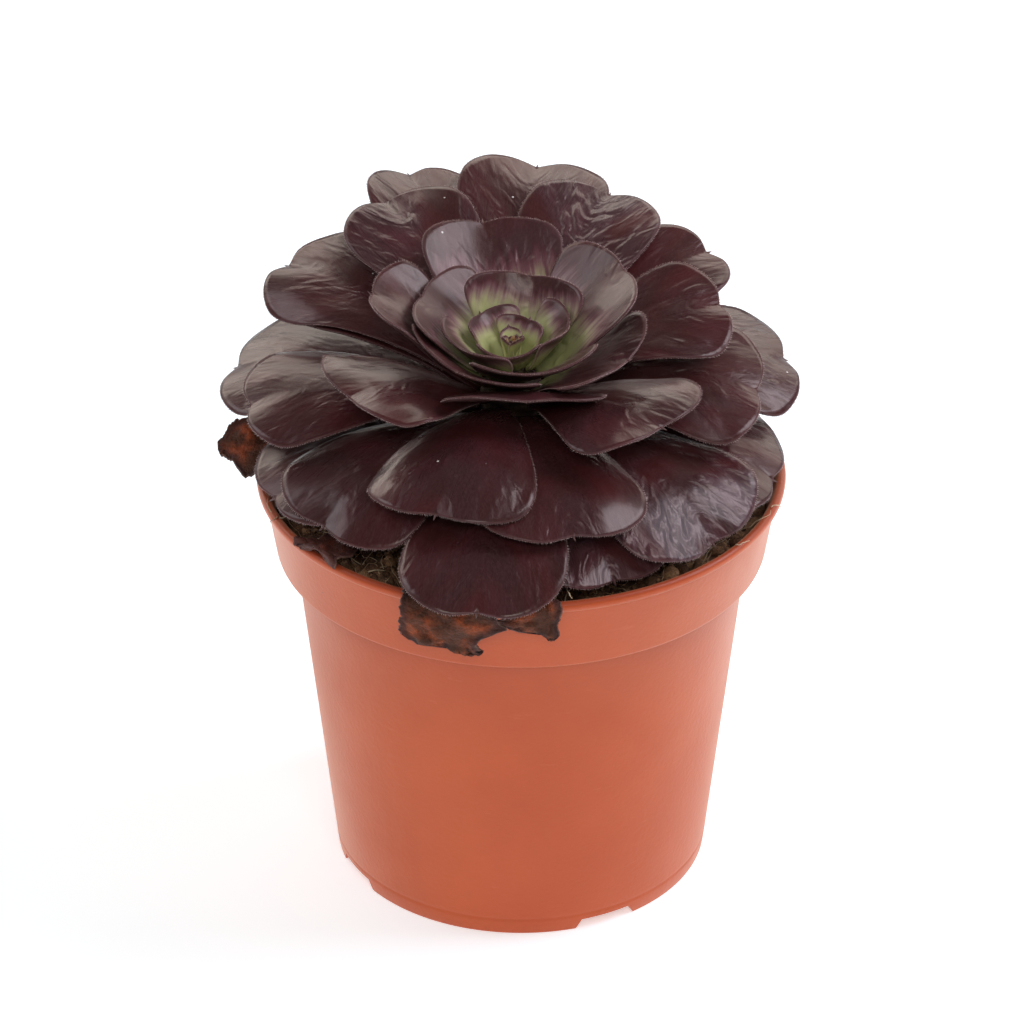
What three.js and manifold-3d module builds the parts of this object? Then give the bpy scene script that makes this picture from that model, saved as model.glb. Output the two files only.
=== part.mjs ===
// Potted aeonium: a rosette of notched, spoon-shaped leaves on a short stem, in a plastic nursery pot.
// Millimetres, +Z up. The finished group's origin is under the middle of the whole plant, at the surface
// that the pot stands on; the pieces are first laid out round the pot's axis.
import * as THREE from 'three';
import { mergeVertices } from 'three/addons/utils/BufferGeometryUtils.js';
import Module from 'manifold-3d';

const wasm = await Module();
wasm.setup();

// Driving dimensions of the pot
const POT_HEIGHT = 99.1;
const LIP_RADIUS = 60;
const LIP_DEPTH = 2.6;
const BAND_TOP_RADIUS = 58.4;
const BAND_FOOT_RADIUS = 55.9;
const BAND_FOOT_HEIGHT = 80.2;
const WALL_TOP_RADIUS = 51.7;
const FOOT_RADIUS = 42.9;
const WALL_THICKNESS = 1.5;
const FOOT_RING_WIDTH = 2.6;
const FLOOR_UNDERSIDE = 3.6;
const FLOOR_TOP = 5.2;
const POT_SIDES = 48;
const NOTCH_COUNT = 4;
const NOTCH_FIRST_ANGLE = -63;
const NOTCH_LENGTH = 15;
const NOTCH_HEIGHT = 2.6;
const NOTCH_SLOPE = 1.4;
const DRAIN_HOLE_RADIUS = 4;
const DRAIN_RING_RADIUS = 24;
const CUTTER_DEPTH = 12;
const DRAIN_HOLE_SIDES = 12;

// Driving dimensions of the soil and the stem
const GAP = 0.3;
const SOIL_LEVEL = 90.5;
const SOIL_LUMP = 1.0;
const SOIL_SIDES = 36;
const SOIL_WALL_GAP = 0.5;
const STEM_SIDES = 20;
const STEM_BOTTOM = 80;
const STEM_TOP = 126.7;
const STEM_MAX_RADIUS = 7.25;
const LEAF_SEAT = 0.45;
const ROSETTE_CENTRE = new THREE.Vector2(-2, 0);

// Leaves are counted outward from the heart: each next one is rooted lower on the stem
const TOP_LEAF_HEIGHT = 126.3;
const LEAF_HEIGHT_STEP = 0.38;
const ROOT_RADIUS_FIRST = 2.2;
const ROOT_RADIUS_STEP = 0.42;
const ROOT_RADIUS_LAST = 8;
const ROOT_WIDTH_SHARE = 0.26;

// A leaf's half outline from its base to the bottom of the notch in its tip:
// share of its length, share of its half width
const OLD_OUTLINE = [
  [0, 0.22], [0.2, 0.4], [0.4, 0.65], [0.58, 0.87], [0.74, 1],
  [0.87, 0.95], [0.96, 0.7], [1, 0.36], [1, 0],
];
const YOUNG_OUTLINE = [
  [0, 0.25], [0.2, 0.5], [0.4, 0.74], [0.6, 0.93], [0.77, 1],
  [0.9, 0.86], [0.97, 0.6], [1, 0.28], [1, 0],
];
const NOTCH_DEPTH = 0.02;
const COLUMNS_PER_SIDE = 3;

// A leaf takes on its grown shape between these two places in the count
const LAST_YOUNG_LEAF = 6;
const FIRST_OLD_LEAF = 16;

// azimuth and reach of the tip, its height, the width, and in degrees how far the leaf droops along
// its length, cups across its width and rolls; then how much its left and right halves fold up
const LEAVES = [
  [50, 6.2, 134.5, 15, 0, 70, 0, 0, 0],
  [-94, 13.2, 134.4, 17, -5, 65, 0, 0, 0],
  [140, 9.5, 135.2, 18, -5, 65, 0, 0, 0],
  [-4, 12.8, 136.6, 23, 0, 60, 0, 0, 0],
  [-137, 17, 136.8, 23, 0, 50, -6, 0, 0],
  [74, 14.5, 141, 30, -5, 60, 5, 0, 0],
  [-73, 23.5, 136, 31, 0, 45, 0, 0, 0],
  [163, 21.5, 139.8, 34, 0, 38, 0, 0, 0],
  [20, 27, 145, 36, 5, 30, 0, 0, 0],
  [-121, 24, 135.5, 36, 0, 38, -8, 0, 0],
  [101.5, 34, 144.5, 34, 5, 40, 5, 0, 0],
  [-31, 30, 136, 35, 0, 30, 5, 0, 0],
  [174, 31.5, 142.5, 30, 5, 44, 0, 0, 0],
  [66.2, 56, 142.5, 32.5, 30, 14, 5, 0, 0],
  [-84, 29, 133.5, 36, 22, -5, -2, 0, 0],
  [120.5, 58, 140.5, 30.5, 30, 14, -9, 0, 0],
  [16, 49.5, 134, 30, 30, 12, 11, 0, -0.2],
  [-148, 43, 131, 37, 30, -5, 0, 0.04, 0],
  [85, 68, 141.5, 35, 32, 20, 5, 0, 0],
  [-43, 45.5, 128, 37, 35, -10, 2, 0, 0],
  [38, 57.5, 136, 27, 35, 15, 14, 0, 0],
  [110, 71, 140, 28, 28, 20, 8, 0, 0],
  [-108.5, 54, 117, 38, 45, -35, 0, 0, 0],
  [143, 65.5, 130.5, 32, 35, 10, -8, -0.4, 0],
  [-2, 56, 120.5, 38, 40, -10, 13, 0, 0],
  [-175, 60, 118.5, 35, 40, -16, -6, 0, 0],
  [57, 62, 124, 34, 35, 5, 0, 0, 0],
  [-76, 56, 113.5, 38, 45, -15, -5, 0, 0],
  [145, 61.5, 128, 24, 35, 5, -8, 0, 0],
  [20, 67.5, 114.5, 38, 40, -10, 8, 0, -0.15],
  [-137.5, 57.6, 106.5, 37.8, 40, -15, -6, 0, 0.01],
  [92, 68, 122, 34, 35, 0, 0, 0, 0],
  [-40, 59, 101.5, 39, 40, -5, 0, 0.17, 0],
  [161.5, 67.5, 113.5, 40, 40, -10, -5, 0, 0],
  [41, 67, 115, 34, 35, 0, 0, 0, 0],
  [-96.5, 69.5, 102.5, 36.5, 40, -5, 0, 0, 0],
  [122, 67, 114, 34, 40, 0, 0, 0, 0],
  [-13, 61, 104, 37, 40, -10, 0, 0, 0],
  [-155, 59.5, 106, 36, 40, -10, 0, 0, 0],
  [71, 65, 111, 34, 40, 0, 0, 0, 0],
  [-66, 56, 99.8, 34, 40, -5, 0, 0, 0],
  [146, 62, 105, 32, 40, 0, 0, 0, 0],
  [16, 59, 104, 32, 40, 0, 0, 0, 0],
  [100, 64, 106, 33, 40, 0, 0, 0, 0],
  [46, 63, 102.5, 32, 40, 0, 0, 0, 0],
  [125, 60, 101, 29, 38, 0, 0, 0, 0],
];

// Leaf thickness, half of it: at the middle of an old and of a young leaf, at the root and at the margin
const OLD_HALF_THICKNESS = 1.05;
const YOUNG_HALF_THICKNESS = 0.7;
const ROOT_HALF_THICKNESS = 0.6;
const MARGIN_HALF_THICKNESS = 0.34;
const WAVE_HEIGHT = 0.055;
const WAVES_ALONG = 2.2;
const WAVE_TURN = 2.4;

// Room that settling leaves keep between them, and how far they may be moved for it
const LEAF_CLEARANCE = 0.45;
const SETTLE_ROUNDS = 70;
const SETTLE_REACH = 12;
const RIM_CLEARANCE = 0.5;

// Withered leaves: azimuth, then the centre line as radius and height, the half width at each of its
// points, and the tilt across it in degrees
const WITHERED = [
  {
    azimuth: 178, tilt: 32, crumple: 0.9, seed: 1,
    line: [[8, 98.9], [22, 99.6], [38, 101.2], [52, 103.6], [61, 104.2], [66.5, 103.4], [69, 102]],
    halfWidths: [2.2, 2.5, 3, 4.5, 7.5, 7, 3.5],
  },
  {
    azimuth: -105, tilt: 0, crumple: 0.5, seed: 2,
    line: [
      [8, 97.6], [24, 97.2], [40, 97.9], [52, 99.6], [58, 100.3],
      [61.9, 99.2], [62.9, 95], [62.6, 91], [61.8, 87.4],
    ],
    halfWidths: [2.4, 3, 4.5, 7.5, 9.5, 11, 11.5, 10, 6.5],
  },
  {
    azimuth: -86, tilt: 0, crumple: 0.4, seed: 3,
    line: [
      [8, 97.9], [24, 97.6], [40, 98.2], [52, 99.7], [58, 100.3],
      [61.8, 99.2], [62.6, 96], [62.3, 92.4],
    ],
    halfWidths: [2, 2.2, 2.6, 3.5, 4.4, 5.2, 5, 3],
  },
  {
    azimuth: -139, tilt: 0, crumple: 0.3, seed: 4,
    line: [[8, 98.2], [22, 97.8], [38, 98.2], [50, 99.5], [56, 100.2], [60.5, 100.3], [62.5, 99.8]],
    halfWidths: [2, 2.4, 3.2, 4.6, 5.4, 5, 2.6],
  },
];
const WITHERED_HALF_THICKNESS = 0.36;
const WITHERED_COLUMNS_PER_SIDE = 3;
const RAGGEDNESS = 0.16;

// The heart: a small core at the stem's tip with the smallest leaves grown round it
const HEART_BOTTOM = 127;
const HEART_HEIGHT = 3.2;
const HEART_RADIUS = 1.5;
const HEART_LEAVES = 7;
const HEART_LEAF_TURN = 137.5;

const LEAF_COLOUR = 0x2b1116;
const YOUNG_COLOUR = 0x6f7442;
const POT_COLOUR = 0xb9583a;
const SOIL_COLOUR = 0x33241a;
const STEM_COLOUR = 0x6b5a3c;
const WITHERED_COLOUR = 0x5e2f1c;

const { degToRad, lerp, clamp, smoothstep } = THREE.MathUtils;

function meshOf(name, geometry, color, roughness) {
  const mesh = new THREE.Mesh(geometry, new THREE.MeshStandardMaterial({ color, roughness, metalness: 0 }));
  mesh.name = name;
  return mesh;
}

function geometryOf(positions, triangles) {
  const geometry = new THREE.BufferGeometry();
  geometry.setAttribute('position', new THREE.Float32BufferAttribute(positions, 3));
  geometry.setIndex(triangles);
  return geometry;
}

// Solids for joining and cutting
function toManifold(geometry) {
  const bare = geometry.clone();
  bare.deleteAttribute('normal');
  bare.deleteAttribute('uv');
  const merged = mergeVertices(bare, 1e-4);
  return new wasm.Manifold(new wasm.Mesh({
    numProp: 3,
    vertProperties: new Float32Array(merged.attributes.position.array),
    triVerts: new Uint32Array(merged.index.array),
  }));
}

function fromManifold(solid) {
  const mesh = solid.getMesh();
  return geometryOf(Array.from(mesh.vertProperties), Array.from(mesh.triVerts));
}

// Pot
function ringSolid(profile, sides) {
  const points = profile.map(([radius, height]) => new THREE.Vector2(radius, height));
  points.push(points[0].clone());
  const ring = new THREE.LatheGeometry(points, sides);
  ring.rotateX(Math.PI / 2);
  return toManifold(ring);
}

function wallRadius(height) {
  return lerp(FOOT_RADIUS, WALL_TOP_RADIUS, height / BAND_FOOT_HEIGHT);
}

// Closed outline of the pot's wall, up the outside and down the inside, and across its floor
function potProfile() {
  const insideBand = BAND_FOOT_RADIUS - WALL_THICKNESS;
  const floorCorner = wallRadius(FLOOR_TOP) - WALL_THICKNESS;
  return [
    [FOOT_RADIUS - FOOT_RING_WIDTH, 0],
    [FOOT_RADIUS - 0.3, 0],
    [FOOT_RADIUS, 0.4],
    [wallRadius(BAND_FOOT_HEIGHT - 0.6), BAND_FOOT_HEIGHT - 0.6],
    [BAND_FOOT_RADIUS - 0.6, BAND_FOOT_HEIGHT],
    [BAND_FOOT_RADIUS, BAND_FOOT_HEIGHT + 0.8],
    [BAND_TOP_RADIUS, POT_HEIGHT - LIP_DEPTH],
    [LIP_RADIUS - 0.5, POT_HEIGHT - LIP_DEPTH + 0.3],
    [LIP_RADIUS, POT_HEIGHT - LIP_DEPTH + 1],
    [LIP_RADIUS - 0.2, POT_HEIGHT - 0.4],
    [LIP_RADIUS - 0.9, POT_HEIGHT],
    [LIP_RADIUS - 1.7, POT_HEIGHT - 0.2],
    [BAND_TOP_RADIUS - WALL_THICKNESS, POT_HEIGHT - LIP_DEPTH - 0.6],
    [insideBand, BAND_FOOT_HEIGHT + 1.2],
    [wallRadius(BAND_FOOT_HEIGHT) - WALL_THICKNESS, BAND_FOOT_HEIGHT - 1.4],
    [floorCorner, FLOOR_TOP],
    [0, FLOOR_TOP],
    [0, FLOOR_UNDERSIDE],
    [FOOT_RADIUS - FOOT_RING_WIDTH, FLOOR_UNDERSIDE],
  ];
}

function notchCutter(angle) {
  const half = NOTCH_LENGTH / 2;
  const outline = new THREE.Shape([
    new THREE.Vector2(-half, -1),
    new THREE.Vector2(half, -1),
    new THREE.Vector2(half, 0),
    new THREE.Vector2(half - NOTCH_SLOPE, NOTCH_HEIGHT),
    new THREE.Vector2(-half + NOTCH_SLOPE, NOTCH_HEIGHT),
    new THREE.Vector2(-half, 0),
  ]);
  const cutter = new THREE.ExtrudeGeometry(outline, { depth: CUTTER_DEPTH, bevelEnabled: false });
  cutter.rotateX(Math.PI / 2);
  cutter.rotateZ(Math.PI / 2);
  cutter.translate(FOOT_RADIUS - 0.75 * CUTTER_DEPTH, 0, 0);
  cutter.rotateZ(degToRad(angle));
  return toManifold(cutter);
}

function drainHoleCutter(x, y) {
  const depth = CUTTER_DEPTH / 2;
  const cutter = new THREE.CylinderGeometry(DRAIN_HOLE_RADIUS, DRAIN_HOLE_RADIUS, depth, DRAIN_HOLE_SIDES);
  cutter.rotateX(Math.PI / 2);
  cutter.translate(x, y, (FLOOR_TOP + FLOOR_UNDERSIDE) / 2);
  return toManifold(cutter);
}

function makePot() {
  let pot = ringSolid(potProfile(), POT_SIDES);
  pot = pot.subtract(drainHoleCutter(0, 0));
  for (let i = 0; i < NOTCH_COUNT; i += 1) {
    const angle = NOTCH_FIRST_ANGLE + (360 / NOTCH_COUNT) * i;
    const x = DRAIN_RING_RADIUS * Math.cos(degToRad(angle));
    const y = DRAIN_RING_RADIUS * Math.sin(degToRad(angle));
    pot = pot.subtract(notchCutter(angle)).subtract(drainHoleCutter(x, y));
  }
  return meshOf('pot', fromManifold(pot), POT_COLOUR, 0.42);
}

// Soil: a filling of the pot with a lumpy top and a plain blind hole for the stem
function soilHeight(x, y) {
  const lumps = Math.sin(x * 0.31 + 1.3) * Math.cos(y * 0.27 - 0.4) + 0.6 * Math.sin(x * 0.53 - y * 0.47);
  const slope = 0.9 * Math.sin(Math.atan2(y, x) + 0.6) * Math.min(1, Math.hypot(x, y) / 50);
  return SOIL_LEVEL + SOIL_LUMP * lumps * 0.6 + slope;
}

function innerRadius(height) {
  const step = BAND_FOOT_HEIGHT + 1.2;
  const bandTop = POT_HEIGHT - LIP_DEPTH;
  if (height > step) {
    const share = (height - step) / (bandTop - step);
    return lerp(BAND_FOOT_RADIUS, BAND_TOP_RADIUS, share) - WALL_THICKNESS;
  }
  return wallRadius(height) - WALL_THICKNESS;
}

function makeSoil() {
  const holeRadius = STEM_MAX_RADIUS + GAP;
  const holeBottom = STEM_BOTTOM - GAP;
  const bandStep = BAND_FOOT_HEIGHT - 1.8;
  const facet = Math.cos(Math.PI / POT_SIDES);
  const fit = (height) => (innerRadius(height) - SOIL_WALL_GAP) * facet;
  // each ring: radius, height, and how far its height follows the lumps
  const rings = [[holeRadius, holeBottom, 0], [holeRadius, SOIL_LEVEL, 0.4]];
  for (const share of [0.16, 0.34, 0.52, 0.7, 0.86]) {
    rings.push([lerp(holeRadius, fit(SOIL_LEVEL), share), SOIL_LEVEL, 1]);
  }
  rings.push([fit(SOIL_LEVEL - 1.5), SOIL_LEVEL - 0.6, 0.8]);
  rings.push([fit(BAND_FOOT_HEIGHT + 1.2), BAND_FOOT_HEIGHT + 1.2, 0]);
  rings.push([fit(bandStep), bandStep, 0]);
  rings.push([fit(FLOOR_TOP + GAP), FLOOR_TOP + GAP, 0]);
  const positions = [];
  const triangles = [];
  const centre = ROSETTE_CENTRE;
  rings.forEach(([radius, height, follow], k) => {
    const drift = 1 - clamp(k - 1, 0, 4) / 4;
    for (let s = 0; s < SOIL_SIDES; s += 1) {
      const angle = (2 * Math.PI * s) / SOIL_SIDES;
      const x = radius * Math.cos(angle) + centre.x * drift;
      const y = radius * Math.sin(angle) + centre.y * drift;
      positions.push(x, y, lerp(height, height + soilHeight(x, y) - SOIL_LEVEL, follow));
    }
  });
  for (let k = 0; k + 1 < rings.length; k += 1) {
    for (let s = 0; s < SOIL_SIDES; s += 1) {
      const next = (s + 1) % SOIL_SIDES;
      const a = k * SOIL_SIDES + s;
      const b = k * SOIL_SIDES + next;
      const c = a + SOIL_SIDES;
      const d = b + SOIL_SIDES;
      triangles.push(a, c, d, a, d, b);
    }
  }
  const capRing = (start, height, x, y, upward) => {
    const apex = positions.length / 3;
    positions.push(x, y, height);
    for (let s = 0; s < SOIL_SIDES; s += 1) {
      const next = (s + 1) % SOIL_SIDES;
      triangles.push(apex, start + (upward ? s : next), start + (upward ? next : s));
    }
  };
  capRing(0, holeBottom, centre.x, centre.y, true);
  capRing((rings.length - 1) * SOIL_SIDES, FLOOR_TOP + GAP, 0, 0, false);
  return meshOf('soil', geometryOf(positions, triangles), SOIL_COLOUR, 1);
}

// Stem: it narrows towards the heart, just inside the ring on which each leaf is rooted
function rootOf(index) {
  return {
    radius: Math.min(ROOT_RADIUS_LAST, ROOT_RADIUS_FIRST + ROOT_RADIUS_STEP * index),
    height: TOP_LEAF_HEIGHT - LEAF_HEIGHT_STEP * index,
  };
}

function makeStem() {
  const outline = [[0, STEM_BOTTOM], [STEM_MAX_RADIUS - 1, STEM_BOTTOM]];
  outline.push([STEM_MAX_RADIUS, STEM_BOTTOM + 3]);
  for (const index of [14, 10, 6, 3, 0]) {
    const root = rootOf(index);
    outline.push([root.radius - GAP - LEAF_SEAT, root.height]);
  }
  outline.push([0, STEM_TOP]);
  const stem = new THREE.LatheGeometry(outline.map(([x, y]) => new THREE.Vector2(x, y)), STEM_SIDES);
  stem.rotateX(Math.PI / 2);
  stem.translate(ROSETTE_CENTRE.x, ROSETTE_CENTRE.y, 0);
  return meshOf('stem', fromManifold(toManifold(stem)), STEM_COLOUR, 0.9);
}

// Leaves
function leafOf(row, index) {
  const [azimuth, reach, height, width, droop, cup, roll, leftFold, rightFold] = row;
  const root = rootOf(index);
  const run = reach - root.radius;
  const rise = height - root.height;
  const turn = degToRad(droop === 0 ? 0.01 : droop);
  const chord = Math.hypot(run, rise);
  return {
    index,
    azimuth: degToRad(azimuth),
    root,
    turn,
    length: (chord * (turn / 2)) / Math.sin(turn / 2),
    startAngle: Math.atan2(rise, run) + turn / 2,
    halfWidth: width / 2,
    cup: degToRad(cup),
    roll: degToRad(roll),
    leftFold,
    rightFold,
    age: smoothstep(index, LAST_YOUNG_LEAF, FIRST_OLD_LEAF),
    wavePhase: index * WAVE_TURN,
  };
}

// A point of the middle surface of a leaf, and the way that its upper side faces there
function leafPoint(leaf, along, across) {
  const angle = leaf.startAngle - leaf.turn * along;
  const bow = leaf.length / leaf.turn;
  const out = bow * (Math.sin(leaf.startAngle) - Math.sin(angle));
  const rise = bow * (Math.cos(angle) - Math.cos(leaf.startAngle));
  const rolled = leaf.roll * Math.min(1, 1.4 * along);
  const up = new THREE.Vector3(-Math.sin(angle), 0, Math.cos(angle));
  const left = new THREE.Vector3(0, 1, 0);
  const upward = up.clone().multiplyScalar(Math.cos(rolled)).addScaledVector(left, -Math.sin(rolled));
  const leftward = left.clone().multiplyScalar(Math.cos(rolled)).addScaledVector(up, Math.sin(rolled));
  const curvature = ((leaf.cup || 0.001) * (1 - 0.25 * along)) / leaf.halfWidth;
  const bend = curvature * across * leaf.halfWidth;
  const blade = clamp((along - 0.3) / 0.6, 0, 1.2) ** 1.5;
  const fold = (across < 0 ? leaf.rightFold : leaf.leftFold) * Math.abs(across) ** 2.2;
  const wave = Math.sin(2 * Math.PI * (along * WAVES_ALONG + Math.sign(across) * 0.25) + leaf.wavePhase);
  const lift = (1 - Math.cos(bend)) / curvature
    + leaf.halfWidth * blade * (fold + WAVE_HEIGHT * leaf.age * across * across * wave);
  const point = new THREE.Vector3(out + leaf.root.radius, 0, rise + leaf.root.height)
    .addScaledVector(leftward, Math.sin(bend) / curvature)
    .addScaledVector(upward, lift);
  const normal = upward.multiplyScalar(Math.cos(bend)).addScaledVector(leftward, -Math.sin(bend));
  const axis = new THREE.Vector3(0, 0, 1);
  point.applyAxisAngle(axis, leaf.azimuth).add(new THREE.Vector3(ROSETTE_CENTRE.x, ROSETTE_CENTRE.y, 0));
  normal.applyAxisAngle(axis, leaf.azimuth);
  return { point, normal };
}

function leafOutline(leaf, row) {
  const [oldAlong, oldAcross] = OLD_OUTLINE[row];
  const [youngAlong, youngAcross] = YOUNG_OUTLINE[row];
  const last = OLD_OUTLINE.length - 1;
  const rootShare = (ROOT_WIDTH_SHARE * leaf.root.radius + 1) / leaf.halfWidth;
  let along = lerp(youngAlong, oldAlong, leaf.age);
  let across = lerp(youngAcross, oldAcross, leaf.age);
  if (row === 0) across = rootShare;
  if (row === 1) across = Math.max(across, rootShare + 0.04);
  if (row === last) along = 1 - NOTCH_DEPTH;
  return [along, across];
}

// Places across a grid, from -1 at its right edge to 1 at its left
function gridSides(columns) {
  return Array.from({ length: columns }, (_, column) => (2 * column) / (columns - 1) - 1);
}

// A sheet is a grid of points with the way that each faces, half the thickness there, and how far
// the point has settled along that way. Its last row is one point, the bottom of the notch.
function leafSheet(leaf) {
  const last = OLD_OUTLINE.length - 1;
  const columns = 2 * COLUMNS_PER_SIDE + 1;
  const sheet = { points: [], normals: [], halves: [], ease: [], rows: last, columns };
  const middle = lerp(YOUNG_HALF_THICKNESS, OLD_HALF_THICKNESS, leaf.age);
  for (let row = 0; row <= last; row += 1) {
    const [marginAlong, marginAcross] = leafOutline(leaf, row);
    const midrib = (1 - NOTCH_DEPTH) * (row / last) ** 0.95;
    for (const side of row === last ? [0] : gridSides(columns)) {
      const along = midrib + (marginAlong - midrib) * Math.abs(side) ** 1.6;
      const { point, normal } = leafPoint(leaf, along, marginAcross * side);
      const body = lerp(ROOT_HALF_THICKNESS, middle, smoothstep(along, 0, 0.35));
      const thinning = row === last ? 1 : Math.max(Math.abs(side) ** 2.4, smoothstep(along, 0.72, 1.02));
      sheet.points.push(point);
      sheet.normals.push(normal);
      sheet.halves.push(lerp(body, MARGIN_HALF_THICKNESS, thinning));
      sheet.ease.push(clamp(row / 2, 0, 1));
    }
  }
  sheet.settled = new Float64Array(sheet.points.length);
  return sheet;
}

// Triangles of a sheet's grid, seen from its upper side
function sheetTriangles(sheet) {
  const { rows, columns } = sheet;
  const triangles = [];
  for (let row = 0; row + 1 < rows; row += 1) {
    for (let column = 0; column + 1 < columns; column += 1) {
      const a = row * columns + column;
      const b = a + 1;
      const c = b + columns;
      const d = a + columns;
      if (column < (columns - 1) / 2) triangles.push([a, d, c], [a, c, b]);
      else triangles.push([a, d, b], [b, d, c]);
    }
  }
  const tip = rows * columns;
  for (let column = 0; column + 1 < columns; column += 1) {
    const a = (rows - 1) * columns + column;
    triangles.push([a, tip, a + 1]);
  }
  return triangles;
}

// The grid's margin as a loop: across the root, out along the left edge, and back along the right
function sheetMargin(sheet) {
  const { rows, columns } = sheet;
  const loop = [];
  for (let column = 0; column < columns; column += 1) loop.push(column);
  for (let row = 1; row < rows; row += 1) loop.push(row * columns + columns - 1);
  loop.push(rows * columns);
  for (let row = rows - 1; row > 0; row -= 1) loop.push(row * columns);
  return loop;
}

function settledPoint(sheet, i) {
  return sheet.points[i].clone().addScaledVector(sheet.normals[i], sheet.settled[i]);
}

function sheetSolid(sheet) {
  const count = sheet.points.length;
  const positions = [];
  for (const side of [1, -1]) {
    for (let i = 0; i < count; i += 1) {
      const point = settledPoint(sheet, i).addScaledVector(sheet.normals[i], side * sheet.halves[i]);
      positions.push(point.x, point.y, point.z);
    }
  }
  const triangles = [];
  for (const [a, b, c] of sheetTriangles(sheet)) {
    triangles.push(a, b, c, a + count, c + count, b + count);
  }
  const loop = sheetMargin(sheet);
  loop.forEach((from, k) => {
    const to = loop[(k + 1) % loop.length];
    triangles.push(from, to, to + count, from, to + count, from + count);
  });
  return geometryOf(positions, triangles);
}

// Withered leaves: narrow crumpled sheets that lie on the lip and hang over it
function witheredSheet(leaf) {
  const rows = leaf.line.length - 1;
  const columns = 2 * WITHERED_COLUMNS_PER_SIDE + 1;
  const sheet = { points: [], normals: [], halves: [], ease: [], rows, columns };
  const line = new THREE.CatmullRomCurve3(leaf.line.map(([x, z]) => new THREE.Vector3(x, 0, z)));
  const toStem = new THREE.Vector3(ROSETTE_CENTRE.x, ROSETTE_CENTRE.y, 0);
  const tilt = degToRad(leaf.tilt);
  for (let row = 0; row <= rows; row += 1) {
    const middle = line.getPoint(row / rows);
    const tangent = line.getTangent(row / rows);
    const up = new THREE.Vector3(-tangent.z, 0, tangent.x);
    const share = row / rows;
    const rolled = tilt * smoothstep(share, 0.2, 0.8);
    for (const side of row === rows ? [0] : gridSides(columns)) {
      const tear = Math.sin(leaf.seed * 2.1 + row * 2.6 + Math.sign(side) * 1.4);
      const ragged = 1 + RAGGEDNESS * tear * Math.abs(side);
      const across = leaf.halfWidths[row] * side * ragged;
      const crumple = leaf.crumple * smoothstep(share, 0.5, 0.9) * Math.abs(side)
        * Math.sin(leaf.seed + row * 2.2 + side * 2.3);
      const turned = degToRad(leaf.azimuth) + (across * Math.cos(rolled)) / Math.max(middle.x, 14);
      const radius = middle.x + up.x * crumple;
      const height = middle.z + up.z * crumple - across * Math.sin(rolled);
      const facing = new THREE.Vector3(up.x * Math.cos(turned), up.x * Math.sin(turned), up.z);
      const sideways = new THREE.Vector3(-Math.sin(turned), Math.cos(turned), 0);
      const point = new THREE.Vector3(radius * Math.cos(turned), radius * Math.sin(turned), height);
      sheet.points.push(point.addScaledVector(toStem, 1 - smoothstep(share, 0, 0.6)));
      facing.multiplyScalar(Math.cos(rolled));
      sheet.normals.push(facing.addScaledVector(sideways, Math.sin(rolled)));
      sheet.halves.push(WITHERED_HALF_THICKNESS);
      sheet.ease.push(0);
    }
  }
  sheet.settled = new Float64Array(sheet.points.length);
  return sheet;
}

// Settling: where two leaves come too close, both give way along the directions they face
function nearestCrossing(point, direction, other, triangles, points) {
  let best = null;
  const edge1 = new THREE.Vector3();
  const edge2 = new THREE.Vector3();
  const p = new THREE.Vector3();
  const q = new THREE.Vector3();
  const s = new THREE.Vector3();
  for (const triangle of triangles) {
    const [a, b, c] = triangle;
    edge1.subVectors(points[b], points[a]);
    edge2.subVectors(points[c], points[a]);
    p.crossVectors(direction, edge2);
    const det = edge1.dot(p);
    if (Math.abs(det) < 1e-9) continue;
    s.subVectors(point, points[a]);
    const u = s.dot(p) / det;
    if (u < 0 || u > 1) continue;
    q.crossVectors(s, edge1);
    const v = direction.dot(q) / det;
    if (v < 0 || u + v > 1) continue;
    const distance = edge2.dot(q) / det;
    if (Math.abs(distance) > SETTLE_REACH) continue;
    if (other.normals[a].dot(direction) < 0.25) continue;
    if (!best || Math.abs(distance) < Math.abs(best.distance)) {
      best = { distance, triangle, weights: [1 - u - v, u, v] };
    }
  }
  return best;
}

function demandRoom(lower, upper, lowerPoints, upperPoints, triangles, push) {
  const test = (from, fromPoints, onto, ontoPoints, ontoTriangles, sign) => {
    for (let i = 0; i < from.points.length; i += 1) {
      const hit = nearestCrossing(fromPoints[i], from.normals[i], onto, ontoTriangles, ontoPoints);
      if (!hit) continue;
      const ontoHalf = hit.triangle.reduce((sum, t, k) => sum + onto.halves[t] * hit.weights[k], 0);
      const lack = from.halves[i] + ontoHalf + LEAF_CLEARANCE - sign * hit.distance;
      if (lack <= 0) continue;
      const give = from.ease[i];
      const take = hit.triangle.reduce((sum, t, k) => sum + onto.ease[t] * hit.weights[k], 0);
      const total = Math.max(give + take, 0.2);
      push(from, i, (-sign * lack * give * 0.6) / total);
      hit.triangle.forEach((t, k) => push(onto, t, (sign * lack * take * hit.weights[k] * 0.9) / total));
    }
  };
  test(lower, lowerPoints, upper, upperPoints, triangles.get(upper), 1);
  test(upper, upperPoints, lower, lowerPoints, triangles.get(lower), -1);
}

function demandRimRoom(sheet, points, push) {
  for (let i = 0; i < points.length; i += 1) {
    const radius = Math.hypot(points[i].x, points[i].y);
    let floor = -Infinity;
    if (radius < LIP_RADIUS + 5) floor = SOIL_LEVEL + 3;
    if (radius > LIP_RADIUS - 2.5 && radius < LIP_RADIUS + 5) floor = POT_HEIGHT + RIM_CLEARANCE;
    const lack = floor + sheet.halves[i] - points[i].z;
    const facing = sheet.normals[i].z;
    if (lack > 0 && facing > 0.3) push(sheet, i, (lack * sheet.ease[i] * 0.7) / facing);
  }
}

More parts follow.
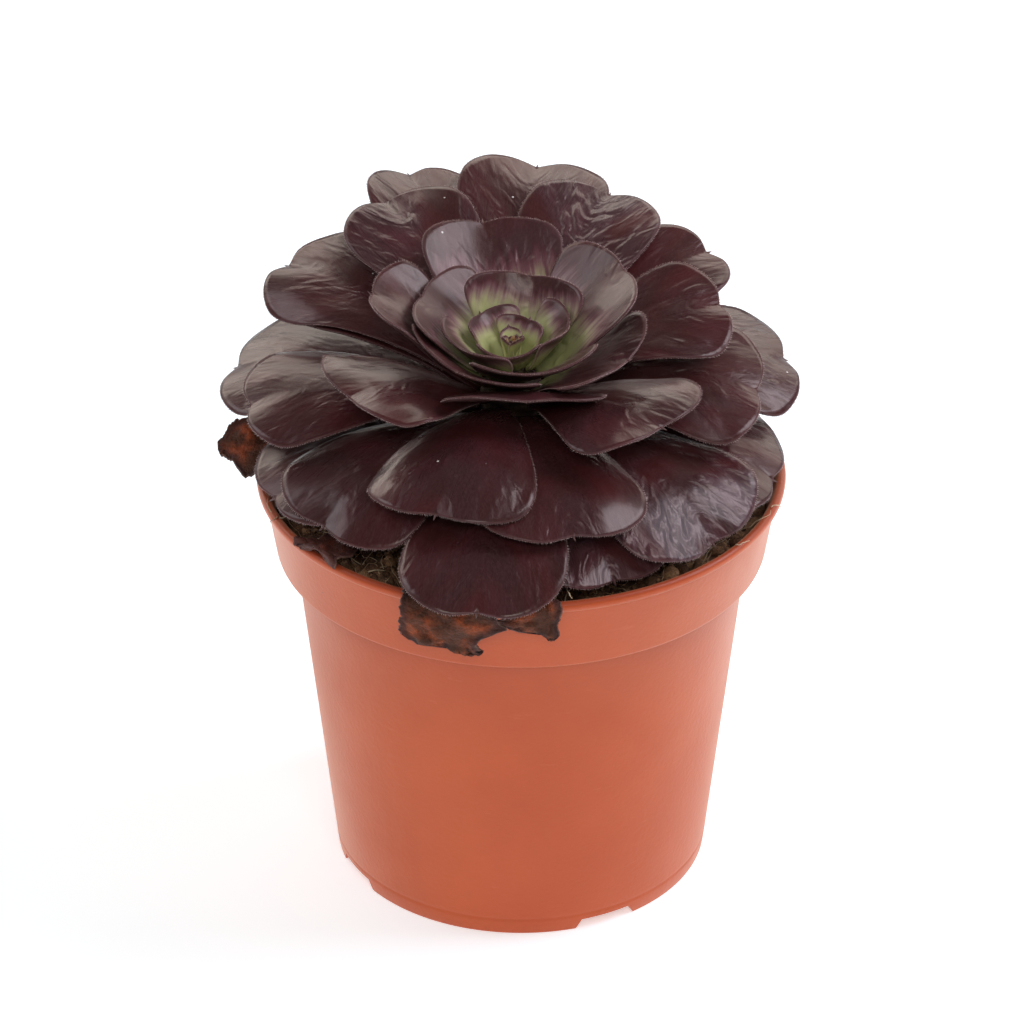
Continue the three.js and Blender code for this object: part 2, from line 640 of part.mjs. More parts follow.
function spread(sheet, wanted) {
  const { columns } = sheet;
  const eased = new Float64Array(wanted.length);
  for (let i = 0; i < wanted.length; i += 1) {
    const row = Math.floor(i / columns);
    const around = [];
    if (row < sheet.rows) {
      if (i % columns > 0) around.push(i - 1);
      if (i % columns < columns - 1) around.push(i + 1);
      if (row > 0) around.push(i - columns);
      if (row + 1 < sheet.rows) around.push(i + columns);
    }
    const mean = around.length ? around.reduce((sum, j) => sum + wanted[j], 0) / around.length : wanted[i];
    eased[i] = (0.5 * wanted[i] + 0.5 * mean) * sheet.ease[i];
  }
  return eased;
}

function settle(sheets, fixedFrom) {
  const triangles = new Map(sheets.map((sheet) => [sheet, sheetTriangles(sheet)]));
  for (let round = 0; round < SETTLE_ROUNDS; round += 1) {
    const points = sheets.map((sheet) => sheet.points.map((_, i) => settledPoint(sheet, i)));
    const boxes = points.map((list) => new THREE.Box3().setFromPoints(list));
    const wanted = new Map(sheets.map((sheet) => [sheet, {
      up: new Float64Array(sheet.points.length),
      down: new Float64Array(sheet.points.length),
    }]));
    const push = (sheet, i, amount) => {
      const { up, down } = wanted.get(sheet);
      up[i] = Math.max(up[i], amount);
      down[i] = Math.min(down[i], amount);
    };
    for (let upper = 0; upper < fixedFrom; upper += 1) {
      demandRimRoom(sheets[upper], points[upper], push);
      for (let lower = upper + 1; lower < sheets.length; lower += 1) {
        if (!boxes[upper].clone().expandByScalar(3).intersectsBox(boxes[lower])) continue;
        demandRoom(sheets[lower], sheets[upper], points[lower], points[upper], triangles, push);
      }
    }
    for (const sheet of sheets) {
      const { up, down } = wanted.get(sheet);
      let change = up.map((value, i) => value + down[i]);
      if (round < SETTLE_ROUNDS - 12) change = spread(sheet, change);
      sheet.settled.forEach((value, i) => { sheet.settled[i] = value + change[i]; });
    }
    if (round < SETTLE_ROUNDS / 2) {
      for (const sheet of sheets) {
        const smooth = spread(sheet, sheet.settled);
        sheet.settled.forEach((value, i) => { sheet.settled[i] = lerp(value, smooth[i], 0.3); });
      }
    }
  }
}

// Heart: a small core with the smallest leaves grown round it, each turned on from the one before
function heartLeaf(number) {
  const share = number / (HEART_LEAVES - 1);
  const length = lerp(2.6, 6.4, share);
  const halfWidth = lerp(1.1, 2.9, share);
  const lean = degToRad(lerp(82, 62, share));
  const outline = [[-0.08, 0.7], [0.25, 0.8], [0.6, 1], [0.85, 0.75], [1, 0]];
  const sheet = { points: [], normals: [], halves: [], rows: outline.length - 1, columns: 5 };
  outline.forEach(([along, width], row) => {
    const sides = row === sheet.rows ? [0] : [-1, -0.5, 0, 0.5, 1];
    for (const side of sides) {
      const bend = degToRad(60) * side * width;
      const radius = halfWidth / degToRad(60);
      const out = along * length * Math.cos(lean) + 0.35 - radius * (1 - Math.cos(bend)) * Math.sin(lean);
      const height = along * length * Math.sin(lean) + radius * (1 - Math.cos(bend)) * Math.cos(lean);
      sheet.points.push(new THREE.Vector3(out, radius * Math.sin(bend), height));
      const facing = new THREE.Vector3(-Math.sin(lean) * Math.cos(bend), -Math.sin(bend), Math.cos(lean));
      sheet.normals.push(facing.normalize());
      sheet.halves.push(lerp(0.42, 0.3, Math.abs(side)));
    }
  });
  sheet.settled = new Float64Array(sheet.points.length);
  const geometry = sheetSolid(sheet);
  geometry.rotateZ(degToRad(HEART_LEAF_TURN * number));
  geometry.translate(0, 0, HEART_HEIGHT * 0.3);
  return toManifold(geometry);
}

function makeHeart() {
  const core = new THREE.SphereGeometry(1, 12, 8);
  core.scale(HEART_RADIUS, HEART_RADIUS, HEART_HEIGHT / 2);
  core.translate(0, 0, HEART_HEIGHT / 2);
  let heart = toManifold(core);
  for (let number = 0; number < HEART_LEAVES; number += 1) heart = heart.add(heartLeaf(number));
  const geometry = fromManifold(heart);
  geometry.translate(ROSETTE_CENTRE.x, ROSETTE_CENTRE.y, HEART_BOTTOM);
  return meshOf('heart', geometry, YOUNG_COLOUR, 0.6);
}

function makeLeaves() {
  const sheets = LEAVES.map((row, index) => leafSheet(leafOf(row, index)));
  const withered = WITHERED.map(witheredSheet);
  settle([...sheets, ...withered], sheets.length);
  const young = new THREE.Color(YOUNG_COLOUR);
  const old = new THREE.Color(LEAF_COLOUR);
  const leaves = sheets.map((sheet, index) => {
    const name = `leaf_${String(index + 1).padStart(2, '0')}`;
    const colour = young.clone().lerp(old, smoothstep(index, 0, 9));
    return meshOf(name, sheetSolid(sheet), colour, 0.35);
  });
  const dry = withered.map((sheet, k) => {
    const name = `withered_leaf_${k + 1}`;
    return meshOf(name, sheetSolid(sheet), WITHERED_COLOUR, 0.85);
  });
  return [...leaves, ...dry];
}

const plant = new THREE.Group();
plant.add(makeStem(), makeHeart(), ...makeLeaves());
const aeonium = new THREE.Group();
aeonium.add(makePot(), makeSoil(), plant);
const middle = new THREE.Box3().setFromObject(aeonium).getCenter(new THREE.Vector3());
aeonium.position.set(-middle.x, -middle.y, 0);

export default aeonium;
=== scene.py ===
"""Potted aeonium: a rosette of dark, glossy, fringed leaves in a plastic nursery pot.

The leaves, the heart, the withered leaves, the stem, the soil and the pot are each rebuilt with a finer
surface on the plain solids of the frame, and get their finish from node materials.
"""
import math
from functools import cache, reduce, wraps

import bmesh
import bpy
import numpy as np
from bpy.props import FloatProperty, FloatVectorProperty, IntProperty, PointerProperty
from bpy.types import NodeSocket, Operator, Panel, PropertyGroup
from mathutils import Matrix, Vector, noise


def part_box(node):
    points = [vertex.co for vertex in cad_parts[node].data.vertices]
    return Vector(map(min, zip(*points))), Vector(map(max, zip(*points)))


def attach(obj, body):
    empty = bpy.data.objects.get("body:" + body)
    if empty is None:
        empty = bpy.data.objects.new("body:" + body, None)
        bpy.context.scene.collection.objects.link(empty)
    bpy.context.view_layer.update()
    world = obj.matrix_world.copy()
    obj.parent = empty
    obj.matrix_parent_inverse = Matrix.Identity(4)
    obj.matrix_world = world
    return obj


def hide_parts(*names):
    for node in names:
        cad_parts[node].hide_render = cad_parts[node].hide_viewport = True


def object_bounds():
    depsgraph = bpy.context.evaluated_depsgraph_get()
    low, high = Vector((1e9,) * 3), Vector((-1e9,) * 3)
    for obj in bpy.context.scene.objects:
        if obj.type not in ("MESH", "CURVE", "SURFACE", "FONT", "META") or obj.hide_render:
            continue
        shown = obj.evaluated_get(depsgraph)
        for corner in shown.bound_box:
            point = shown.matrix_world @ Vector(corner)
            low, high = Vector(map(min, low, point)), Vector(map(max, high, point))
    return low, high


bl_info = {
    "name": "Potted aeonium",
    "version": (1, 0, 0),
    "blender": (4, 5, 0),
    "location": "3D View > Sidebar > Aeonium",
    "description": "Builds a potted aeonium on its frame of plain solids",
    "category": "Add Mesh",
}

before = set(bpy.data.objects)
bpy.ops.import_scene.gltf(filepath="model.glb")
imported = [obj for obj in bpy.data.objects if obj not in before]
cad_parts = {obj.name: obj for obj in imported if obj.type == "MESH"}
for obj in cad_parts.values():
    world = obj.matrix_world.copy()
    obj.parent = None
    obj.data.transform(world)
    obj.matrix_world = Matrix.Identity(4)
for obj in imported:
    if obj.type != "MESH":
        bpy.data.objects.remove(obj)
FRAME_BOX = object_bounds()
MM = 0.001

# Where the pot's own axis stands in the frame, in millimetres
POT_AXIS = np.array([sum(corner[k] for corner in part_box("pot")) / 2 / MM for k in (0, 1)] + [0.0])
ROSETTE_CENTRE = POT_AXIS + (-2.0, 0.0, 0.0)

# The pot, in millimetres
POT_HEIGHT = 99.1
LIP_RADIUS = 60.0
LIP_DEPTH = 2.6
BAND_TOP_RADIUS = 58.4
BAND_FOOT_RADIUS = 55.9
BAND_FOOT_HEIGHT = 80.2
WALL_TOP_RADIUS = 51.7
FOOT_RADIUS = 42.9
WALL_THICKNESS = 1.5
FOOT_RING_WIDTH = 2.6
FLOOR_UNDERSIDE = 3.6
FLOOR_TOP = 5.2
NOTCH_ANGLES = (-63.0, 27.0, 117.0, 207.0)
NOTCH_LENGTH = 15.0
NOTCH_HEIGHT = 2.6
NOTCH_SLOPE = 1.4
DRAIN_HOLE_RADIUS = 4.0
DRAIN_RING_RADIUS = 24.0
SOIL_LEVEL = 90.5

# The stem and the roots of the leaves, counted outward from the heart
TOP_LEAF_HEIGHT = 126.3
LEAF_HEIGHT_STEP = 0.38
ROOT_RADIUS_FIRST = 2.2
ROOT_RADIUS_STEP = 0.42
ROOT_RADIUS_LAST = 8.0
ROOT_WIDTH_SHARE = 0.26
LAST_YOUNG_LEAF = 6
FIRST_OLD_LEAF = 16
STEM_BOTTOM = 80.0
STEM_TOP = 126.7
STEM_RADIUS = 7.25
LEAF_SEAT = 0.75

# A leaf's half outline from its base to the notch in its tip: share of its length, of its half width
OLD_OUTLINE = (
    (0, 0.22), (0.2, 0.4), (0.4, 0.65), (0.58, 0.87), (0.74, 1),
    (0.87, 0.95), (0.96, 0.7), (1, 0.36), (1, 0),
)
YOUNG_OUTLINE = (
    (0, 0.25), (0.2, 0.5), (0.4, 0.74), (0.6, 0.93), (0.77, 1),
    (0.9, 0.86), (0.97, 0.6), (1, 0.28), (1, 0),
)
LAST_ROW = len(OLD_OUTLINE) - 1
NOTCH_DEPTH = 0.02
GRID_SIDES = (-1, -2 / 3, -1 / 3, 0, 1 / 3, 2 / 3, 1)

# Azimuth and reach of the tip, its height, the width, and in degrees how far the leaf droops, cups and
# rolls; then how much its left and right halves fold up. What a row leaves out is zero.
LEAVES = (
    (50, 6.2, 134.5, 15, 0, 70),
    (-94, 13.2, 134.4, 17, -5, 65),
    (140, 9.5, 135.2, 18, -5, 65),
    (-4, 12.8, 136.6, 23, 0, 60),
    (-137, 17, 136.8, 23, 0, 50, -6),
    (74, 14.5, 141, 30, -5, 60, 5),
    (-73, 23.5, 136, 31, 0, 45),
    (163, 21.5, 139.8, 34, 0, 38),
    (20, 27, 145, 36, 5, 30),
    (-121, 24, 135.5, 36, 0, 38, -8),
    (101.5, 34, 144.5, 34, 5, 40, 5),
    (-31, 30, 136, 35, 0, 30, 5),
    (174, 31.5, 142.5, 30, 5, 44),
    (66.2, 56, 142.5, 32.5, 30, 14, 5),
    (-84, 29, 133.5, 36, 22, -5, -2),
    (120.5, 58, 140.5, 30.5, 30, 14, -9),
    (16, 49.5, 134, 30, 30, 12, 11, 0, -0.2),
    (-148, 43, 131, 37, 30, -5, 0, 0.04),
    (85, 68, 141.5, 35, 32, 20, 5),
    (-43, 45.5, 128, 37, 35, -10, 2),
    (38, 57.5, 136, 27, 35, 15, 14),
    (110, 71, 140, 28, 28, 20, 8),
    (-108.5, 54, 117, 38, 45, -35),
    (143, 65.5, 130.5, 32, 35, 10, -8, -0.4),
    (-2, 56, 120.5, 38, 40, -10, 13),
    (-175, 60, 118.5, 35, 40, -16, -6),
    (57, 62, 124, 34, 35, 5),
    (-76, 56, 113.5, 38, 45, -15, -5),
    (145, 61.5, 128, 24, 35, 5, -8),
    (20, 67.5, 114.5, 38, 40, -10, 8, 0, -0.15),
    (-137.5, 57.6, 106.5, 37.8, 40, -15, -6, 0, 0.01),
    (92, 68, 122, 34, 35, 0),
    (-40, 59, 101.5, 39, 40, -5, 0, 0.17),
    (161.5, 67.5, 113.5, 40, 40, -10, -5),
    (41, 67, 115, 34, 35, 0),
    (-96.5, 69.5, 102.5, 36.5, 40, -5),
    (122, 67, 114, 34, 40, 0),
    (-13, 61, 104, 37, 40, -10),
    (-155, 59.5, 106, 36, 40, -10),
    (71, 65, 111, 34, 40, 0),
    (-66, 56, 99.8, 34, 40, -5),
    (146, 62, 105, 32, 40, 0),
    (16, 59, 104, 32, 40, 0),
    (100, 64, 106, 33, 40, 0),
    (46, 63, 102.5, 32, 40, 0),
    (125, 60, 101, 29, 38, 0),
)

OLD_HALF_THICKNESS = 1.05
YOUNG_HALF_THICKNESS = 0.7
ROOT_HALF_THICKNESS = 0.6
MARGIN_HALF_THICKNESS = 0.34
WAVE_HEIGHT = 0.055
WAVES_ALONG = 2.2
WAVE_TURN = 2.4

# How many millimetres a grown leaf curls down at its tip, and from which share of its length on
TIP_CURL = 1.1
CURL_START = 0.76
# How far the green of its base reaches along a young leaf, from the heart outward
GREEN_REACH = (
    0.74, 0.7, 0.7, 0.66, 0.62, 0.66, 0.5, 0.52, 0.48, 0.4, 0.51, 0.34, 0.28, 0.16, 0.12, 0.14, 0.1,
)
NO_GREEN = -0.1
# How deeply the leaves that have puckered are crinkled; the others hardly are
PUCKERED = {9: 0.2, 11: 0.35, 14: 0.55, 16: 0.4, 30: 0.4, 33: 0.9, 41: 0.55}
HARDLY_PUCKERED = 0.16

# The margin: how far its rounded rim stands out, its hairs, and the small point in the notch of the tip
RIM_BEAD = 0.16
HAIR_RADIUS = 0.085
POINT_RADIUS = 0.5
POINT_HAIR_LENGTHS = 3.4
# How far apart two leaves, and the two faces of one, lie in the pattern of their skin
LEAF_SPACING = 37.0
FACE_SPACING = 11.0

# The heart at the stem's tip
HEART_BOTTOM = 127.0
HEART_LEAVES = 7
HEART_LEAF_TURN = 137.5
HEART_OUTLINE = ((-0.08, 0.7), (0.25, 0.8), (0.6, 1), (0.85, 0.75), (1, 0))
HEART_BUDS = ((-1.3, -0.4, 0.5), (0.5, -1.0, 0.55), (1.5, 0.3, 0.5), (0.2, 0.9, 0.6))

# Withered leaves: azimuth, tilt across in degrees, crumple, then the centre line as radius and height,
# and the half width at each of its points
WITHERED = (
    (178, 32, 0.9,
     ((8, 98.9), (22, 99.6), (38, 101.2), (52, 103.6), (61, 104.2), (66.5, 103.4), (69, 102)),
     (2.2, 2.5, 3, 4.5, 7.5, 7, 3.5)),
    (-105, 0, 0.5,
     ((8, 97.6), (24, 97.2), (40, 97.9), (52, 99.6), (58, 100.3), (61.9, 99.2), (62.9, 95), (62.6, 91),
      (61.8, 87.4)),
     (2.4, 3, 4.5, 7.5, 9.5, 11, 11.5, 10, 6.5)),
    (-86, 0, 0.4,
     ((8, 97.9), (24, 97.6), (40, 98.2), (52, 99.7), (58, 100.3), (61.8, 99.2), (62.6, 96), (62.3, 92.4)),
     (2, 2.2, 2.6, 3.5, 4.4, 5.2, 5, 3)),
    (-139, 0, 0.3,
     ((8, 98.2), (22, 97.8), (38, 98.2), (50, 99.5), (56, 100.2), (60.5, 100.3), (62.5, 99.8)),
     (2, 2.4, 3.2, 4.6, 5.4, 5, 2.6)),
)
# How each withered leaf is torn: the share of its width left on either side at places along it, and how
# many millimetres further its end reaches at places across it
TEARS = (
    (((0, 1, 1), (0.66, 1, 1), (0.72, 0.95, 1.08), (0.77, 0.82, 0.72), (0.88, 0.62, 0.6), (1, 0.3, 0.35)),
     ((-1, -1), (-0.2, 0), (0, 0.3), (0.4, -0.6), (1, -1.4))),
    (((0, 1, 1), (0.62, 1, 0.85), (0.76, 1, 1.04), (0.84, 0.97, 0.84), (0.93, 1.02, 0.86), (1, 1.16, 1.06)),
     ((-1, -0.6), (-0.45, -1.7), (0, -0.9), (0.55, 1.2), (0.86, 2.2), (1, 0.2))),
    (((0, 1, 1), (0.71, 1.5, 0.78), (0.86, 1.6, 0.86), (0.93, 1.35, 0.95), (1, 1.3, 1.15)),
     ((-1, -1.9), (-0.4, -1.6), (0.1, -0.5), (0.5, 0.8), (0.9, 0.3), (1, -0.4))),
    (((0, 1, 1), (0.6, 1, 1), (0.8, 1.1, 0.9), (0.92, 1.15, 1.1), (1, 1.6, 1.7)),
     ((-1, -2.6), (-0.3, -2.4), (0.2, -2.6), (1, -3.2))),
)
WITHERED_HALF_THICKNESS = 0.288
WITHERED_SIZE = (64, 36)
# The one withered leaf that is still plum-coloured
LEATHERY_LEAF = 3
RAGGEDNESS = 0.16
CRUMPLE_DEPTH = 1.2

# Fibres caught on the rim: azimuth, radius and height over the rim of the start, heading along the rim and
# outward, length, and how crooked where that differs
STRAY_FIBRES = (
    (-158, 58.8, 0.1, 0.8, 0.5, 4.2), (-160, 59.4, 0.1, -0.6, 0.7, 3.4), (-157, 58.6, 0.1, 0.4, -0.9, 3.0),
    (-26, 51.5, -4.2, 0.3, 1.0, 13.0, 0.16), (-22, 50.5, -5.0, -0.1, 1.0, 8.0, 0.3),
    (-18, 58.8, 0.1, 0.8, 0.3, 3.0), (-36, 58.6, 0.1, 0.3, 0.8, 3.6, 0.4),
    (-38, 51.0, -6.5, 0.9, 0.4, 8.0, 0.3), (-79, 57.9, 0.1, -0.4, -0.8, 3.2),
    (64, 58.3, 0.1, 0.7, 0.5, 5.0), (130, 58.3, 0.1, -0.7, 0.6, 4.4),
)

# The camera, in millimetres and degrees
CAMERA_TARGET_HEIGHT = 80.0
CAMERA_DISTANCE = 1300.0
CAMERA_ELEVATION = 31.02
CAMERA_RIGHT = -2.08
CAMERA_UP = 6.0
CAMERA_LENS = 200.1


# Settings that a user would change
def colour(name, description, default):
    return FloatVectorProperty(
        name=name, description=description, subtype="COLOR", size=3, min=0.0, max=1.0, default=default)


class LeafSettings(PropertyGroup):
    rows: IntProperty(
        name="Rows", description="Rows of faces along a leaf", default=46, min=12, max=80)
    columns: IntProperty(
        name="Columns", description="Columns of faces across a leaf", default=32, min=8, max=60)
    fringe_length: FloatProperty(
        name="Fringe length", description="Length of the hairs on a leaf's margin",
        default=0.55 * MM, min=0.0, unit="LENGTH")
    fringe_spacing: FloatProperty(
        name="Fringe spacing", description="Distance from one hair on the margin to the next",
        default=0.5 * MM, min=0.2 * MM, unit="LENGTH")
    dark: colour("Dark leaf", "Darkest colour of a grown leaf", (0.036, 0.0085, 0.0082))
    wine: colour("Wine", "Reddest colour of a grown leaf", (0.064, 0.0105, 0.012))
    purple: colour("Purple", "Colour between a young leaf's green and its dark tip", (0.105, 0.021, 0.033))
    green: colour("Green", "Colour of a young leaf's base", (0.43, 0.45, 0.2))
    rim: colour("Rim", "Colour of the thin line along a leaf's margin", (0.17, 0.075, 0.08))


class PotSettings(PropertyGroup):
    plastic: colour("Plastic", "Colour of the pot", (0.55, 0.08, 0.007))
    segments: IntProperty(
        name="Segments", description="Faces round the pot", default=192, min=48, max=256)


class SoilSettings(PropertyGroup):
    crumbs: IntProperty(name="Crumbs", description="Lumps of peat on the soil", default=1500, min=0)
    fibres: IntProperty(name="Fibres", description="Fibres on the soil", default=380, min=0)
    seed: IntProperty(name="Seed", description="Which scatter of crumbs and fibres", default=11)


class StageSettings(PropertyGroup):
    side_light: FloatProperty(
        name="Side lights", description="Brightness of the two lights at the sides", default=6.0, min=0.0)
    back_light: FloatProperty(
        name="Back light", description="Brightness of the lit wall behind the plant", default=1.95, min=0.0)
    front_light: FloatProperty(
        name="Front light", description="Brightness of the light behind the camera", default=5.7, min=0.0)
    surround: FloatProperty(
        name="Surround", description="Strength of the pale room's light", default=0.12, min=0.0)


# Nodes
class Nodes:
    """Adds nodes to a tree. What feeds an input is a number, a colour, a vector or another node's output."""

    def __init__(self, tree):
        self.tree = tree

    def feed(self, socket, value):
        if isinstance(value, NodeSocket):
            self.tree.links.new(value, socket)
        elif socket.type == "RGBA":
            socket.default_value = (*value[:3], 1.0)
        else:
            socket.default_value = value

    def add(self, kind, inputs=None, **settings):
        """Adds a node, sets it up, feeds its inputs and returns its outputs."""
        made = self.tree.nodes.new("ShaderNode" + kind)
        for name, value in settings.items():
            setattr(made, name, value)
        for key, value in (inputs or {}).items():
            self.feed(made.inputs[key], value)
        return made.outputs

    def math(self, operation, *values):
        return self.add("Math", dict(enumerate(values)), operation=operation)[0]

    def plus(self, *values):
        return reduce(lambda first, second: self.math("ADD", first, second), values)

    def times(self, *values):
        return reduce(lambda first, second: self.math("MULTIPLY", first, second), values)

    def minus(self, first, second):
        return self.math("SUBTRACT", first, second)

    def ramp(self, value, low, high, at_low=0.0, at_high=1.0):
        """Goes softly from one number to another while a value goes from low to high."""
        inputs = {"Value": value, "From Min": low, "From Max": high, "To Min": at_low, "To Max": at_high}
        return self.add("MapRange", inputs, interpolation_type="SMOOTHSTEP")["Result"]

    def stretched(self, vector, scale):
        return self.add("VectorMath", {0: vector, 1: scale}, operation="MULTIPLY")[0]

    def noise(self, place, scale, detail, roughness=0.5, distortion=0.0):
        inputs = {"Vector": place, "Scale": scale, "Detail": detail, "Roughness": roughness}
        return self.add("TexNoise", {**inputs, "Distortion": distortion})["Fac"]

    def read(self, name, output="Fac"):
        """A value that the mesh carries at its points."""
        return self.add("Attribute", attribute_name=name)[output]

    def place(self):
        return self.add("NewGeometry")["Position"]

    def height(self):
        return self.add("SeparateXYZ", {0: self.place()})["Z"]

    def use(self, group, inputs):
        return self.add("Group", inputs, node_tree=group)

    def paint(self, under, *coats):
        """A colour with others painted over it, each given with its share and perhaps a strength."""
        for over, *shares in coats:
            under = self.add("Mix", {0: self.times(*shares), 6: under, 7: over}, data_type="RGBA")[2]
        return under

    def bump(self, height, distance, strength):
        return self.add("Bump", {"Height": height, "Distance": distance, "Strength": strength})["Normal"]


def shared_group(name, inputs):
    """Makes a node group once, with these inputs, from a function that returns its outputs by name."""
    def wrap(fill):
        @wraps(fill)
        def group():
            if name in bpy.data.node_groups:
                return bpy.data.node_groups[name]
            tree = bpy.data.node_groups.new(name, "ShaderNodeTree")
            for key, default in inputs.items():
                kind = "NodeSocketVector" if default is None else "NodeSocketFloat"
                socket = tree.interface.new_socket(name=key, in_out="INPUT", socket_type=kind)
                if default is not None:
                    socket.default_value = default
            outputs = fill(Nodes(tree), tree.nodes.new("NodeGroupInput").outputs)
            for key in outputs:
                tree.interface.new_socket(name=key, in_out="OUTPUT", socket_type="NodeSocketFloat")
            end = tree.nodes.new("NodeGroupOutput")
            for key, output in outputs.items():
                tree.links.new(output, end.inputs[key])
            return tree
        return group
    return wrap


def shared_material(name, plain):
    """Makes a material once, from plain values and a function that returns what else feeds its shader."""
    def wrap(fill):
        @wraps(fill)
        def material():
            if name in bpy.data.materials:
                return bpy.data.materials[name]
            made = bpy.data.materials.new(name)
            made.use_nodes = True
            nodes = Nodes(made.node_tree)
            shader = made.node_tree.nodes["Principled BSDF"]
            for key, value in {**plain, **fill(nodes)}.items():
                nodes.feed(shader.inputs[key], value)
            return made
        return material
    return wrap


@shared_group("Leaf wrinkles", {"Blade place": None, "Crinkles": 0.2, "Dimples": 0.6, "Lines": 0.05})
def wrinkle_group(nodes, given):
    """A leaf's relief: soft dimples, a net of crinkles where it is puckered, and fine lines to its tip."""
    place = given["Blade place"]
    ridge = nodes.math("ABSOLUTE", nodes.minus(nodes.noise(place, 0.22, 1.5, 0.4, 0.5), 0.5))
    net = nodes.plus(nodes.times(nodes.ramp(ridge, 0.0, 0.3), 2.0),
                     nodes.times(nodes.noise(place, 0.55, 1.0, 0.5, 1.6), 0.35))
    puckers = nodes.times(nodes.ramp(nodes.noise(place, 0.08, 2.0), 0.34, 0.6), given["Crinkles"])
    dimples = nodes.noise(nodes.stretched(place, (1.0, 0.6, 1.0)), 0.16, 2.0, 0.5, 0.5)
    lines = nodes.noise(nodes.stretched(place, (1.0, 0.09, 1.0)), 0.9, 3.0, 0.6)
    grain = nodes.times(nodes.noise(place, 2.6, 2.0, 0.6), 0.05)
    return {
        "Height": nodes.plus(nodes.times(net, puckers), nodes.times(dimples, given["Dimples"]),
                             nodes.times(lines, given["Lines"]), grain),
        "Streaks": nodes.ramp(lines, 0.36, 0.66),
        "Puckers": puckers,
    }


@shared_group("Specks", {"Spacing": 300.0, "Size": 0.1, "Share": 0.5})
def speck_group(nodes, given):
    """Small scattered specks of dust or dirt."""
    cells = nodes.add("TexVoronoi", {"Vector": nodes.place(), "Scale": given["Spacing"]})
    pick = nodes.add("SeparateColor", {"Color": cells["Color"]})["Red"]
    near = nodes.math("LESS_THAN", cells["Distance"], given["Size"])
    return {"Mask": nodes.times(near, nodes.math("LESS_THAN", pick, given["Share"]))}


@shared_group("Mottle", {"Coarse": 60.0, "Fine": 600.0})
def mottle_group(nodes, given):
    """Soft uneven patches, coarse and fine together."""
    coarse = nodes.noise(nodes.place(), given["Coarse"], 4.0, 0.55)
    fine = nodes.noise(nodes.place(), given["Fine"], 3.0, 0.55)
    return {"Patches": nodes.ramp(coarse, 0.3, 0.7), "Grain": nodes.ramp(fine, 0.3, 0.7)}


# Materials, each with its own colours
STREAK, SPECKLE = (0.07, 0.022, 0.022), (0.16, 0.075, 0.075)
# the second colour of these is a painted lavender sheen, the third a pale band that is partly painted sheen
YOUNG_SKIN, PAINTED_SHEEN, BLOOM_AND_SHEEN = (0.095, 0.04, 0.042), (0.16, 0.12, 0.15), (0.5, 0.36, 0.36)
YOUNG_RIM, UNDERSIDE = (0.46, 0.42, 0.22), (0.07, 0.04, 0.036)
HAIR, DUST = (0.5, 0.36, 0.34), (0.75, 0.7, 0.68)


@shared_material("Leaf skin", {
    "Specular IOR Level": 0.3, "Specular Tint": (1.0, 0.85, 0.79),
    "Coat Weight": 0.3, "Coat Roughness": 0.16})
def leaf_material(nodes):
    """Burgundy-black skin with wine-red and green bases, dimpled, glossy, with a pale fringed rim and
    patches of painted sheen.
    """
    settings = bpy.context.scene.aeonium_leaves
    along, across, grown = nodes.add("SeparateXYZ", {0: nodes.read("leaf_share", "Vector")})
    place = nodes.read("blade_place", "Vector")
    under = nodes.read("underside")
    relief = nodes.use(wrinkle_group(), {
        "Blade place": place, "Crinkles": nodes.read("crinkle"), "Dimples": 0.8,
        "Lines": nodes.ramp(grown, 1.0, 0.0, 0.008, 0.05),
    })
    streaks, puckers = relief["Streaks"], relief["Puckers"]
    # how far a point lies inside the green base of a young leaf; the sides turn dark before the middle
    side = nodes.times(nodes.math("POWER", across, 3.0), 0.3)
    ragged = nodes.times(nodes.minus(streaks, 0.5), 0.09)
    left = nodes.minus(nodes.read("green_reach"), nodes.plus(along, side, ragged))
    young = nodes.minus(1.0, grown)
    fresh = nodes.ramp(left, -0.09, 0.15)
    bloom_and_sheen = nodes.times(nodes.ramp(left, -0.2, 0.0), nodes.ramp(left, 0.22, 0.0), young)
    rim = nodes.ramp(nodes.read("margin_distance"), 0.34, 0.05)
    dust = nodes.use(speck_group(), {"Spacing": 190.0, "Size": 0.052, "Share": 0.2})["Mask"]
    skin = nodes.paint(
        settings.dark,
        (settings.wine, nodes.ramp(nodes.noise(place, 0.09, 2.0), 0.3, 0.75)),
        (settings.wine, nodes.ramp(along, 0.5, 0.08), 0.75),
        (STREAK, streaks, 0.05),
        (SPECKLE, nodes.ramp(nodes.noise(place, 2.2, 2.0, 0.7), 0.35, 0.8), 0.2),
        (YOUNG_SKIN, young, 0.22),
        # painted sheen: a lavender-grey tint over the puckered patches
        (PAINTED_SHEEN, puckers, 0.3),
        (settings.purple, nodes.ramp(left, -0.24, -0.03)),
        (settings.green, fresh),
        # a pale whitish band between the green and the purple of a young leaf, partly its own colour and
        # partly painted sheen
        (BLOOM_AND_SHEEN, bloom_and_sheen, 0.3),
        (nodes.paint(settings.rim, (YOUNG_RIM, fresh)), rim, 0.22),
        (UNDERSIDE, under, 0.35),
        (HAIR, nodes.read("fringe")),
        (DUST, dust),
    )
    rough = nodes.plus(
        nodes.ramp(streaks, 0.0, 1.0, 0.28, 0.33), nodes.times(young, 0.06), nodes.times(puckers, -0.07),
        nodes.times(under, 0.12), nodes.times(rim, 0.5))
    return {"Base Color": skin, "Roughness": rough, "Normal": nodes.bump(relief["Height"], 1.0 * MM, 0.65)}


UMBER, RUST, DRY_BROWN = (0.062, 0.023, 0.012), (0.48, 0.1, 0.032), (0.14, 0.05, 0.03)
CHAR, LEATHER, DRY_EDGE = (0.036, 0.016, 0.015), (0.1, 0.034, 0.028), (0.36, 0.24, 0.2)


